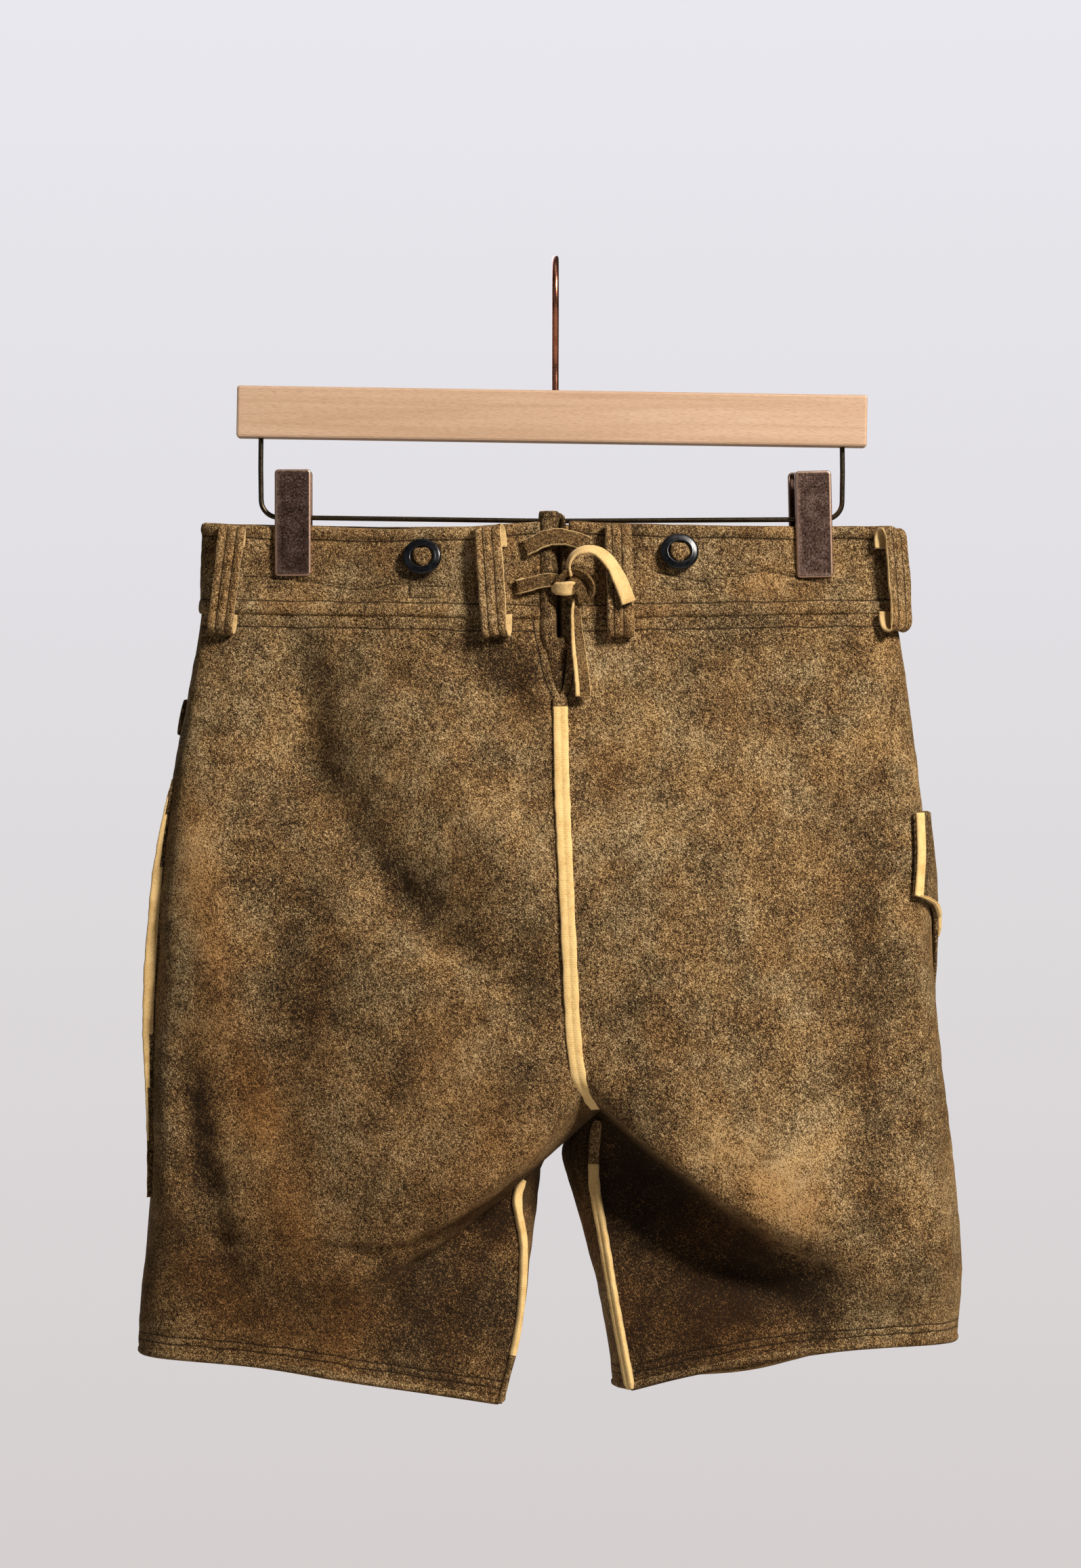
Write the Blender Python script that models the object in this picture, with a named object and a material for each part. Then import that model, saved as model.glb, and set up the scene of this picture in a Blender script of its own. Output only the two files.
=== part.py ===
"""Short leather breeches (lederhosen) held by their waistband in a clip hanger.

Sizes are in millimetres here and become metres as the meshes are made.
x runs to the wearer's right, y to the wearer's front, z up.  The origin is the
inside of the hook's crown, where the hanger rests on a rail.
"""
from collections import namedtuple
from math import cos, pi, radians, sin

import bmesh
import bpy
import numpy as np
from mathutils import Vector

MM = 0.001

# ---------------------------------------------------------------- driving sizes
LEATHER = 2.2            # wall of one layer of leather
BAND_PROUD = 1.2         # how far the doubled waistband stands out from the body
BAND_BEHIND = 2.4        # its thickness inside that line
SEAM_HALF_GAP = 0.22     # each piece stops this far from the line of a seam
CLEAR = 0.4              # gap under a piece that lies on another one
FOLD_HALF_DEPTH = 4.2    # the sides never fold flatter than this
VENT_HALF_WIDTH = 8.9    # the open back vent at the waist, either side of its middle
WELT_LIFT = 0.8          # gap under a welt, which bridges two curved panels
INSEAM_WELT_LIFT = 1.4   # more where the seam is a ridge
CROTCH_RELIEF = 1.6      # how far the four corners stop from where they meet
CROTCH_GAP = 2.4         # and how many times wider the seams open beside it
HEM_ROLL = 4.2           # height of the rolled edge of each leg
HEM_BULGE = 0.9          # how far that roll is thicker than the wall, each side
POCKET_LIFT = 1.3        # gap under the knife pocket, which wraps the side
FLAP_LIFT = BAND_PROUD + 0.9
FRONT_BUTTON_LIFT = BAND_PROUD + 1.2
FLAP_BUTTON_LIFT = FLAP_LIFT + LEATHER + 1.0
SEAM_WELT_WIDE, INSEAM_WELT_WIDE = 8.2, 6.2
LOOP_WIDE, LOOP_THICK = 15, 2.2
BUTTON_RADIUS, BUTTON_HALF_WIDE, BUTTON_HALF_TALL = 8.1, 2.15, 1.9
LACE_WIDE, LOWER_RUNG_WIDE, LACE_THICK = 8.0, 7.0, 1.7

# Each half of the garment is a net of lengthwise rows and girthwise stations.
ROWS = ("waist edge", "clip foot", "band foot", "vent foot", "upper seat", "seat",
        "full seat", "low seat", "above lip", "lip", "crotch", "under lip",
        "inner thigh", "thigh", "above hem", "hem")
VENT_FOOT = ROWS.index("vent foot")
CROTCH = ROWS.index("crotch")
SIDE_STATION = 5         # stations 0 to 5 are the back, 5 to 11 the front
LAST_STATION = 11
NEAR, MIDDLE, FAR = 0.2, 0.5, 0.8   # where across a panel its depths are given

LEFT, RIGHT = -1, 1      # the wearer's left is at -x

Place = namedtuple("Place", "x y z")
Panel = namedtuple("Panel", "side_x side_z near middle far droop round")
Face = namedtuple("Face", "near middle far droop")
Thigh = namedtuple("Thigh", "x y z")
Fold = namedtuple("Fold", "x0 z0 x1 z1 width height")

BACK_SEAM = [            # centre back, waist edge to crotch
    Place(-0.4, -14, -150), Place(-0.4, -18, -180), Place(-0.4, -22, -205),
    Place(2.4, -31, -248.5), Place(3.5, -42, -300), Place(5.7, -52, -353),
    Place(8.2, -58, -405), Place(9.8, -60, -438), Place(13, -59, -462),
    Place(18, -50, -473), Place(25, -24, -484)]
FRONT_SEAM = [           # centre front, waist edge to crotch
    Place(0, 12, -150), Place(0, 16, -180), Place(0, 20, -204),
    Place(0, 27, -248), Place(0, 36, -300), Place(0, 42, -353),
    Place(0, 46, -405), Place(0, 46, -440), Place(1, 34, -474),
    Place(3, 4, -488), Place(25, -24, -484)]
INSEAM = {               # crotch to hem
    LEFT: [Place(1, -21, -505), Place(-21, -24, -528), Place(-18.5, -29, -561),
           Place(-21.5, -33, -604), Place(-32, -36, -648)],
    RIGHT: [Place(22.5, -20, -504), Place(22.3, -22, -525), Place(27.5, -28, -556),
            Place(34.5, -33, -597), Place(42.5, -37, -640)]}
THIGH = {                # innermost line of each leg, crotch row to hem row
    LEFT: [Thigh(-5, 2, -500), Thigh(-9, 4, -512), Thigh(-10, 5, -533),
           Thigh(-15, 4, -563), Thigh(-21, 3, -606), Thigh(-31.5, 2, -652)],
    RIGHT: [Thigh(10, 3, -497), Thigh(3.5, 3, -508), Thigh(9, 4, -530),
            Thigh(18, 3, -560), Thigh(27.5, 2, -602), Thigh(33.5, 2, -643)]}
BACK = {                 # side line, depth of the back at three stations, sag of the row
    LEFT: [Panel(-201, -150, -13, -8, -3.2, -4, 8), Panel(-202, -178, -16, -10, -3.6, -1, 9),
           Panel(-202.5, -201, -21, -16, -10, 0, 11), Panel(-209.5, -245, -29, -24, -17, 0, 18),
           Panel(-219, -297, -41, -36, -26, 0, 26), Panel(-225, -352, -52, -47, -35, 0, 32),
           Panel(-228.5, -405, -60, -55, -41, -8, 36), Panel(-230.5, -452, -63, -59, -45, -22, 38),
           Panel(-230.8, -492, -65, -62, -47, -38, 38), Panel(-231.5, -530, -62, -61, -47, -54, 38),
           Panel(-232.5, -542, -36, -51, -45, -42, 38), Panel(-233.5, -555, -29, -46, -43, -46, 38),
           Panel(-234.5, -568, -30, -42, -41, -38, 38), Panel(-236.5, -584, -34, -41, -40, -25, 38),
           Panel(-238, -605, -40, -45, -38, -9, 38), Panel(-238, -624, -43, -48, -37, 2.5, 38)],
    RIGHT: [Panel(193, -152, -13, -8, -3.2, -1, 10), Panel(194, -178, -16, -10, -3.6, 0, 11),
            Panel(195, -201, -21, -16, -10, 0, 13), Panel(201.5, -245, -29, -24, -17, 0, 18),
            Panel(208, -297, -41, -37, -27, 0, 26), Panel(213.5, -352, -52, -48, -36, 0, 32),
            Panel(216.5, -405, -60, -57, -42, -6, 36), Panel(220.5, -455, -64, -62, -47, -12, 38),
            Panel(226, -505, -66, -66, -52, -20, 40), Panel(232, -560, -62, -67, -56, -17, 40),
            Panel(232, -574, -29, -42, -48, -14, 40), Panel(231.5, -583, -26, -34, -44, -18, 38),
            Panel(231, -591, -28, -34, -42, -16, 38), Panel(230.5, -599, -33, -38, -42, -9, 38),
            Panel(230, -607.5, -38, -43, -41, -2, 38), Panel(229.5, -617, -41, -46, -38, 6, 38)]}
FRONT = [                # depth of the front at the same stations, both halves
    Face(11, 8, 3.2, -2), Face(15, 10, 3.6, 0), Face(20, 16, 10, 0), Face(27, 24, 17, 0),
    Face(36, 33, 26, 0), Face(43, 40, 32, 0), Face(47, 44, 36, -6), Face(48, 46, 38, -12),
    Face(47, 46, 39, -18), Face(44, 46, 39, -24), Face(42, 46, 40, -26),
    Face(42, 46, 40, -24), Face(42, 46, 40, -20), Face(43, 46, 40, -16),
    Face(44, 47, 39, -13), Face(45, 48, 38, -11)]
FOLDS = [                # largest ridges (+) and troughs (-) of the back
    Fold(-147, -225, -124, -292, 18, -5), Fold(-124, -292, -62, -369, 18, -6),
    Fold(-62, -369, -14, -393, 18, -3.5), Fold(-85, -268, -22, -350, 18, 4),
    Fold(-212, -447, -199, -524, 14, -5), Fold(-199, -524, -182, -586, 14, -5),
    Fold(-203, -334, -184, -431, 18, 3), Fold(-100, -592, -64, -606, 14, -3),
    Fold(-76, -580, -44, -574, 12, 3), Fold(124, -498, 159, -530, 26, 6),
    Fold(186, -327, 190, -455, 16, -4), Fold(31, -243, 35, -300, 16, -3)]

# ---------------------------------------------------------------- lace and hanger
# free and crossing routes of the lace, and the middle of its knot
LACE_UPPER = [(-17.5, -19.6, -165), (-11.6, -20.6, -162.4), (-6.6, -21.2, -159.9), (1.6, -21.2, -158.5),
              (8.1, -20.9, -159.6), (14.3, -20.3, -161), (19, -19.6, -163)]
LACE_LOWER = [(-21, -22.6, -187.4), (-15.5, -23.6, -185.8), (-7.8, -24, -183.8), (-1.2, -24.2, -183.2)]
LACE_KNOT = (12.3, -26, -184.5)
LACE_RISING = [(7.6, -30.5, -174.6), (10.6, -31.4, -170.6), (16.4, -32.4, -167.6), (22.6, -33.2, -167.4),
               (28.2, -33.6, -170.6), (32.7, -33.8, -176.3), (36, -33.8, -183.6), (38.8, -33.6, -190.4),
               (40.8, -33.2, -197)]
LACE_HANGING = [(11.8, -26.6, -195.4), (11.2, -27.2, -202.7), (11.2, -28.6, -211), (11.8, -30.6, -220),
                (12.8, -33.4, -230), (13.6, -36, -240), (14, -38, -249)]

BAR = {"length": 360, "thick": 14, "tall": 29.5, "x": -1.95, "z": -88.6, "tilt": 0.89}
BAR_BEVEL, HOLE_DEPTH, HOLE_PLAY = 1.4, 9.0, 0.35
HOOK_WIRE, HOOK_RADIUS, FRAME_WIRE = 3.8, 22.4, 2.9
FRAME_LEFT, FRAME_RIGHT = -168.4, 164.1
FRAME_Z_LEFT, FRAME_Z_RIGHT, FRAME_BEND = -146.1, -147.3, 10
CLIP = {"wide": 20.8, "tall": 61, "thick": 1.3, "mouth": 6.6, "corner": 3.0}
CLIPS = {"left": {"x": -149.8, "z": -149.6, "lean": 0.0, "rear_shift": 0.0, "wire_z": FRAME_Z_LEFT},
         "right": {"x": 147.6, "z": -150.5, "lean": 1.3, "rear_shift": -3.2, "wire_z": FRAME_Z_RIGHT}}
SPRING_RADIUS, SPRING_HALF_LONG = 3.25, 6.5

# rows and stations at which the solid walls are cut into facets
BODY_ROWS = [2, 2.5, 3, 3.5, 4, 4.5, 5, 5.5, 6, 6.5, 7, 7.5, 8, 8.5, 9, 9.35, 9.7, 10,
             10.5, 11, 11.5, 12, 13, 14, 15]
BAND_ROWS = [0, 1, 2]
BACK_STATIONS = [0, 0.35, 0.7, 1, 1.33, 1.67, 2, 2.33, 2.67, 3, 3.5, 4, 4.5, 5]
FRONT_STATIONS = [5, 5.5, 6, 6.5, 7, 7.4, 8, 8.5, 9, 9.35, 9.7, 10, 10.5, 11]


# ---------------------------------------------------------------- small helpers
def make_material(name, colour, roughness=0.8, metallic=0.0):
    material = bpy.data.materials.new(name)
    material.use_nodes = True
    shader = material.node_tree.nodes["Principled BSDF"]
    shader.inputs["Base Color"].default_value = (*colour, 1.0)
    shader.inputs["Roughness"].default_value = roughness
    shader.inputs["Metallic"].default_value = metallic
    return material


def add_solid(name, points, faces, material, sharp_angle=40):
    """One closed mesh from points in millimetres, its faces turned outwards."""
    mesh = bpy.data.meshes.new(name)
    mesh.from_pydata([tuple(float(value) * MM for value in point) for point in points], [], faces)
    shape = bmesh.new()
    shape.from_mesh(mesh)
    bmesh.ops.recalc_face_normals(shape, faces=shape.faces)
    shape.to_mesh(mesh)
    shape.free()
    mesh.shade_smooth()
    mesh.set_sharp_from_angle(angle=radians(sharp_angle))
    mesh.materials.append(material)
    solid = bpy.data.objects.new(name, mesh)
    bpy.context.scene.collection.objects.link(solid)
    return solid


def smooth_line(points, where):
    """A smooth curve through the points, read at fractional point numbers."""
    points = np.asarray(points, float)
    where = np.asarray(where, float)
    steps = np.diff(points, axis=0)
    gaps = np.sqrt(np.maximum(np.linalg.norm(steps, axis=1), 0.5))
    slopes = steps / gaps[:, None]
    lean = (gaps[1:] / (gaps[1:] + gaps[:-1]))[:, None]
    tangents = np.vstack([slopes[:1], slopes[:-1] * lean + slopes[1:] * (1 - lean), slopes[-1:]])
    start = np.clip(np.floor(where).astype(int), 0, len(points) - 2)
    t = (where - start)[:, None]
    span = gaps[start][:, None]
    return (points[start] * (2 * t**3 - 3 * t**2 + 1) + points[start + 1] * (3 * t**2 - 2 * t**3)
            + span * (tangents[start] * (t**3 - 2 * t**2 + t) + tangents[start + 1] * (t**3 - t**2)))


def unit(vectors):
    return vectors / np.maximum(np.linalg.norm(vectors, axis=-1, keepdims=True), 1e-9)


def tube_faces(rings, around, closed=False):
    """Quads between rings of points; open ends get a cap each."""
    faces = []
    for ring in range(rings if closed else rings - 1):
        first = ring * around
        second = ((ring + 1) % rings) * around
        for corner in range(around):
            beside = (corner + 1) % around
            faces.append((first + corner, first + beside, second + beside, second + corner))
    if not closed:
        faces.append(tuple(reversed(range(around))))
        faces.append(tuple((rings - 1) * around + corner for corner in range(around)))
    return faces


def add_rings(name, rings, material, closed=False, sharp_angle=40):
    """A solid through a list of rings, each with the same number of points."""
    points = [point for ring in rings for point in ring]
    return add_solid(name, points, tube_faces(len(rings), len(rings[0]), closed), material, sharp_angle)


def add_wire(name, route, diameter, material, readings, sides=2):
    """A round wire or cord along a smooth curve through its route."""
    line = smooth_line(route, np.linspace(0, len(route) - 1, readings))
    curve = bpy.data.curves.new(name, "CURVE")
    curve.dimensions = "3D"
    curve.bevel_depth = diameter / 2 * MM
    curve.bevel_resolution = sides
    curve.use_fill_caps = True
    spline = curve.splines.new("POLY")
    spline.points.add(len(line) - 1)
    for point, place in zip(spline.points, line):
        point.co = (*(float(value) * MM for value in place), 1.0)
    curve.materials.append(material)
    wire = bpy.data.objects.new(name, curve)
    bpy.context.scene.collection.objects.link(wire)
    return wire


def add_ribbon(name, route, across, width, thickness, material, readings=None):
    """A flat strap along a route; across holds the direction of its width at each point."""
    count = readings or len(route)
    where = np.linspace(0, len(route) - 1, count)
    line = smooth_line(route, where)
    sideways = unit(smooth_line(np.asarray(across, float) * 10, where))
    along = unit(np.gradient(line, axis=0))
    sideways = unit(sideways - along * np.sum(sideways * along, axis=1, keepdims=True))
    upward = np.cross(along, sideways)
    rings = []
    for point, side, up in zip(line, sideways, upward):
        rings.append([point + side * width / 2 * a + up * thickness / 2 * b
                      for a, b in ((-1, -1), (1, -1), (1, 1), (-1, 1))])
    return add_rings(name, rings, material)


# ---------------------------------------------------------------- the cloth surface
def net_of(half):
    """Rows by stations of one half of the garment, waist edge to hem."""
    net = np.zeros((len(ROWS), LAST_STATION + 1, 3))
    for row, (back, front) in enumerate(zip(BACK[half], FRONT)):
        below_crotch = row > CROTCH
        back_seam = INSEAM[half][row - CROTCH - 1] if below_crotch else BACK_SEAM[row]
        front_seam = INSEAM[half][row - CROTCH - 1] if below_crotch else FRONT_SEAM[row]
        turn = back.side_x - half * back.round
        corner_x = back.side_x - half * max(back.round * 0.3, 5)
        back_corner = min(back.far * 0.62, -FOLD_HALF_DEPTH)
        front_corner = max(front.far * 0.62, FOLD_HALF_DEPTH)
        net[row, 0] = back_seam
        for station, part, depth in ((1, NEAR, back.near), (2, MIDDLE, back.middle), (3, FAR, back.far)):
            height = back_seam.z + (back.side_z - back_seam.z) * part
            net[row, station] = (back_seam.x + (turn - back_seam.x) * part, depth,
                                 height + back.droop * sin(pi * part))
        net[row, 4] = (corner_x, back_corner, back.side_z + back.droop * 0.15)
        net[row, SIDE_STATION] = (back.side_x, 0, back.side_z)
        net[row, 6] = (corner_x, front_corner, back.side_z + front.droop * 0.15)
        inner = THIGH[half][row - CROTCH] if row >= CROTCH else None
        start_x, start_z = (inner.x, inner.z) if inner else (front_seam.x, front_seam.z)
        for station, part, depth in ((7, FAR, front.far), (8, MIDDLE, front.middle), (9, NEAR, front.near)):
            net[row, station] = (start_x + (turn - start_x) * part, depth,
                                 start_z + (back.side_z - start_z) * part + front.droop * sin(pi * part))
        if inner:
            net[row, 10] = inner
        else:
            net[row, 10] = 0.3 * net[row, 9] + 0.7 * np.array(front_seam)
        net[row, LAST_STATION] = front_seam
    return net


def fold_height(x, z):
    """How far the back stands out at a place because of its folds."""
    height = np.zeros_like(x)
    for fold in FOLDS:
        run_x, run_z = fold.x1 - fold.x0, fold.z1 - fold.z0
        along = np.clip(((x - fold.x0) * run_x + (z - fold.z0) * run_z) / (run_x**2 + run_z**2), 0, 1)
        away = np.hypot(x - fold.x0 - along * run_x, z - fold.z0 - along * run_z)
        height += fold.height * np.exp(-(away / fold.width) ** 2)
    return height


def surface(half, rows, stations):
    """Outer surface of one half, read at fractional rows and stations."""
    net = net_of(half)
    rows = np.asarray(rows, float)
    stations = np.asarray(stations, float)
    above, below = rows[rows <= CROTCH], rows[rows > CROTCH]
    columns = []
    for station in range(LAST_STATION + 1):
        line = net[:, station]
        if station in (0, 10, LAST_STATION):      # the seams turn into the inseam at the crotch
            columns.append(np.vstack([smooth_line(line[:CROTCH + 1], above),
                                      smooth_line(line[CROTCH:], below - CROTCH)]))
        else:
            columns.append(smooth_line(line, rows))
    grid = np.stack(columns, axis=1)
    grid[:, 0, 0] += half * VENT_HALF_WIDTH * np.sqrt(np.clip(VENT_FOOT - rows, 0, 1))
    cloth = np.stack([smooth_line(line, stations) for line in grid])
    from_side = np.clip((SIDE_STATION - stations) / 1.5, 0, 1)[None, :]
    from_inseam = np.where(rows[:, None] > CROTCH, np.clip(stations, 0, 1)[None, :], 1)
    cloth[..., 1] -= from_side * from_inseam * fold_height(cloth[..., 0], cloth[..., 2])
    return cloth


def whole_surface(rows):
    """Both halves at the same rows, with normals that agree along shared seams."""
    stations = BACK_STATIONS + FRONT_STATIONS[1:]
    halves = {half: surface(half, rows, stations) for half in (LEFT, RIGHT)}
    sums = {}
    keys = {half: [[tuple(np.round(point, 3)) for point in line] for line in grid]
            for half, grid in halves.items()}
    for half, grid in halves.items():
        for row in range(len(rows) - 1):
            for col in range(len(stations) - 1):
                corners = [(row, col), (row + 1, col), (row + 1, col + 1), (row, col + 1)]
                a, b, c, d = (grid[corner] for corner in corners)
                facing = np.cross(c - a, d - b) * half
                for r, s in corners:
                    sums[keys[half][r][s]] = sums.get(keys[half][r][s], 0) + facing
    normals = {half: unit(np.array([[sums[key] for key in line] for line in keys[half]]))
               for half in halves}
    return halves, normals


def stop_short(grid, facing, gap, corner=0):
    """Move the edges of a grid inwards by the seam gap; a seam turns at the corner row."""
    moved = grid.copy()
    for edge, inside in ((0, 1), (-1, -2)):
        along = np.gradient(grid[corner:, edge], axis=0)
        if corner:
            along = np.vstack([np.gradient(grid[:corner + 1, edge], axis=0), along[1:]])
        square_on = unit(np.cross(along, facing[:, edge]))
        turn = np.sign(np.sum(square_on * (grid[:, inside] - grid[:, edge])))
        spread = np.ones((len(grid), 1))
        spread[max(corner - 4, 0):corner + 4] = CROTCH_GAP if corner else 1.0
        moved[:, edge] += gap * turn * spread * square_on
        if corner:
            moved[corner, edge] += CROTCH_RELIEF * unit(grid[corner, inside] - grid[corner, edge])
    for edge, inside in ((0, 1), (-1, -2)):
        moved[edge] += gap * unit(grid[inside] - grid[edge])
    return moved


def add_wall(name, outer, inner, material):
    """A sheet with thickness: two grids of points joined round their rim."""
    rows, cols = outer.shape[:2]
    size = rows * cols
    faces = []
    for row in range(rows - 1):
        for col in range(cols - 1):
            a = row * cols + col
            quad = (a, a + cols, a + cols + 1, a + 1)
            faces.append(quad)
            faces.append(tuple(size + corner for corner in reversed(quad)))
    rim = ([col for col in range(cols)] + [row * cols + cols - 1 for row in range(1, rows)]
           + [(rows - 1) * cols + col for col in range(cols - 2, -1, -1)]
           + [row * cols for row in range(rows - 2, 0, -1)])
    points = np.vstack([outer.reshape(-1, 3), inner.reshape(-1, 3)])
    for first, second in zip(rim, rim[1:] + rim[:1]):
        if points[first][2] < points[second][2]:      # both walls at a seam split alike
            faces += [(first, second, size + second), (first, size + second, size + first)]
        else:
            faces += [(first, second, size + first), (second, size + second, size + first)]
    return add_solid(name, points, faces, material, sharp_angle=50)


# ---------------------------------------------------------------- panels and band
def add_panels(grids, normals, leather):
    """The four body panels, the waistband pieces above them and the rolled hems."""
    band_rows = len(BAND_ROWS)
    seam = len(BACK_STATIONS) - 1
    parts = {"back": slice(0, seam + 1), "front": slice(seam, None)}
    for half, side in ((LEFT, "left"), (RIGHT, "right")):
        for part, cols in parts.items():
            points, facing = grids[half][:, cols], normals[half][:, cols]
            body, body_facing = points[band_rows - 1:].copy(), facing[band_rows - 1:]
            body[-1] += (HEM_ROLL + CLEAR - SEAM_HALF_GAP) * unit(body[-2] - body[-1])
            body = stop_short(body, body_facing, SEAM_HALF_GAP, BODY_ROWS.index(CROTCH))
            add_wall(f"{part}_{side}", body, body - body_facing * LEATHER, leather)
            band, band_facing = points[:band_rows], facing[:band_rows]
            band = stop_short(band, band_facing, SEAM_HALF_GAP)
            add_wall(f"waistband_{part}_{side}", band + band_facing * BAND_PROUD,
                     band - band_facing * BAND_BEHIND, leather)
        add_hem(f"hem_{side}", grids[half], normals[half], leather)


def add_hem(name, grid, facing, material):
    """The rolled lower edge, one ring round the leg."""
    across, tall = LEATHER / 2 + HEM_BULGE, HEM_ROLL / 2
    rings = []
    for col in range(grid.shape[1] - 1):
        edge, out = grid[-1, col], facing[-1, col]
        up = unit(grid[-2, col] - edge)
        middle = edge - out * LEATHER / 2 + up * tall
        rings.append([middle + out * across * cos(turn) + up * tall * sin(turn)
                      for turn in (pi / 4 * step for step in range(8))])
    add_rings(name, rings, material, closed=True)


# ---------------------------------------------------------------- pieces on the panels
def spot(half, x, z, front=False, rows=(0, 6)):
    """The place and facing of the outer surface at a given x and z."""
    row, station = 1.5, (8.0 if front else 2.5)
    reach = (SIDE_STATION + 0.3, LAST_STATION) if front else (0, SIDE_STATION - 0.05)
    step = 0.01
    for _ in range(14):
        near = surface(half, [row, row + step], [station, station + step])
        here, down, along = near[0, 0], near[1, 0] - near[0, 0], near[0, 1] - near[0, 0]
        slopes = np.array([[down[0], along[0]], [down[2], along[2]]]) / step
        change = np.linalg.lstsq(slopes, np.array([x - here[0], z - here[2]]), rcond=None)[0]
        row = float(np.clip(row + np.clip(change[0], -1, 1), rows[0], rows[1]))
        station = float(np.clip(station + np.clip(change[1], -1, 1), *reach))
    return facing_at(half, row, station)


def facing_at(half, row, station):
    """Place and outward direction at a row and station."""
    step = 0.02
    near = surface(half, [row - step, row + step], [station - step, station + step])
    out = np.cross(near[1, 0] - near[0, 0], near[0, 1] - near[0, 0])
    return near.mean(axis=(0, 1)), unit(out * half)


def add_seam_welt(name, seam, one_side, other_side, facing, width, lift, material):
    """A welt of two ridges along a seam, from the wall's own points moved out."""
    low, edge, ridge, groove = lift, lift + 1.1, lift + 2.4, lift + 1.5
    rings = []
    for point, first, second, out in zip(seam, one_side, other_side, facing):
        to_first, to_second = unit(first - point) * width / 2, unit(second - point) * width / 2
        rings.append([point + to_first + out * low, point + out * low, point + to_second + out * low,
                      point + to_second + out * edge, point + to_second * 0.5 + out * ridge,
                      point + out * groove, point + to_first * 0.5 + out * ridge,
                      point + to_first + out * edge])
    add_rings(name, rings, material, sharp_angle=60)


def add_welts(grids, normals, rows, material):
    """Centre back, inseams and the proud fin on the wearer's left side seam."""
    first, last = rows.index(VENT_FOOT), rows.index(9.7)
    along = slice(first, last + 1)
    add_seam_welt("welt_centre_back", grids[LEFT][along, 0], grids[LEFT][along, 1],
                  grids[RIGHT][along, 1], normals[LEFT][along, 0], SEAM_WELT_WIDE, WELT_LIFT, material)
    for half, side in ((LEFT, "left"), (RIGHT, "right")):
        grid, out = grids[half].copy(), normals[half]
        grid[-1] += (HEM_ROLL + 1.2) * unit(grid[-2] - grid[-1])
        along = slice(rows.index(11.5 if half == LEFT else 10.5), len(rows))
        add_seam_welt(f"welt_inseam_{side}", grid[along, 0], grid[along, 1], grid[along, -2],
                      out[along, 0], INSEAM_WELT_WIDE, INSEAM_WELT_LIFT, material)
    seam = len(BACK_STATIONS) - 1
    along = slice(rows.index(4), rows.index(9) + 1)
    grid, out = grids[LEFT][along], normals[LEFT][along]
    height = [2.5] + [6.2] * (len(grid) - 2) + [5.0]
    rings = []
    for line, facing, tall in zip(grid, out, height):
        point, up = line[seam], facing[seam]
        back, front = unit(line[seam - 1] - point) * 1.5, unit(line[seam + 1] - point) * 1.5
        lean = back * 0.6
        rings.append([point + back + up * WELT_LIFT, point + front + up * WELT_LIFT,
                      point + front + lean + up * tall, point + back + lean + up * tall])
    add_rings("welt_side_left", rings, material)


def add_belt_loop(name, half, top, bottom, front, material, station=None):
    """A strap that stands off the band and turns in at both ends."""
    if station is None:
        upper, upper_out = spot(half, *top, front)
        lower, lower_out = spot(half, *bottom, front)
    else:
        upper, upper_out = facing_at(half, station[0], station[2])
        lower, lower_out = facing_at(half, station[1], station[3])
    steps = ((0.05, 2.6), (0.0, 4.8), (0.035, 7.8), (0.2, 8.8), (0.5, 9.2), (0.8, 8.8),
             (0.965, 7.4), (0.995, 4.2), (0.95, 2.4))
    route, across = [], []
    for part, stand in steps:
        out = unit(upper_out * (1 - part) + lower_out * part)
        route.append(upper * (1 - part) + lower * part + out * stand)
        across.append(np.cross(out, unit(lower - upper)))
    add_ribbon(name, route, across, LOOP_WIDE, LOOP_THICK, material, readings=15)


def add_button(name, half, x, z, lift, horn, leather, front=False):
    """A horn ring with a leather tab through it."""
    place, out = spot(half, x, z, front)
    pose = Vector(out).to_track_quat("Z", "Y").to_matrix()
    side, up = np.array(pose.col[0]), np.array(pose.col[1])
    centre = place + out * (lift + CLEAR + BUTTON_HALF_TALL)
    rings = []
    for step in range(18):
        angle = 2 * pi * step / 18
        radial = side * cos(angle) + up * sin(angle)
        rings.append([centre + radial * (BUTTON_RADIUS + BUTTON_HALF_WIDE * cos(turn))
                      + out * BUTTON_HALF_TALL * sin(turn) for turn in (pi / 4 * n for n in range(8))])
    add_rings(f"{name}_ring", rings, horn, closed=True, sharp_angle=80)
    rings = []
    for radius, height in ((4.6, 0.0), (5.2, 0.6), (5.2, 2.6), (3.4, 3.6), (1.0, 3.9)):
        rings.append([place + out * (lift + CLEAR + height) + (side * cos(a) + up * sin(a)) * radius
                      for a in (2 * pi * n / 12 for n in range(12))])
    add_rings(f"{name}_tab", rings, leather, sharp_angle=60)


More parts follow.
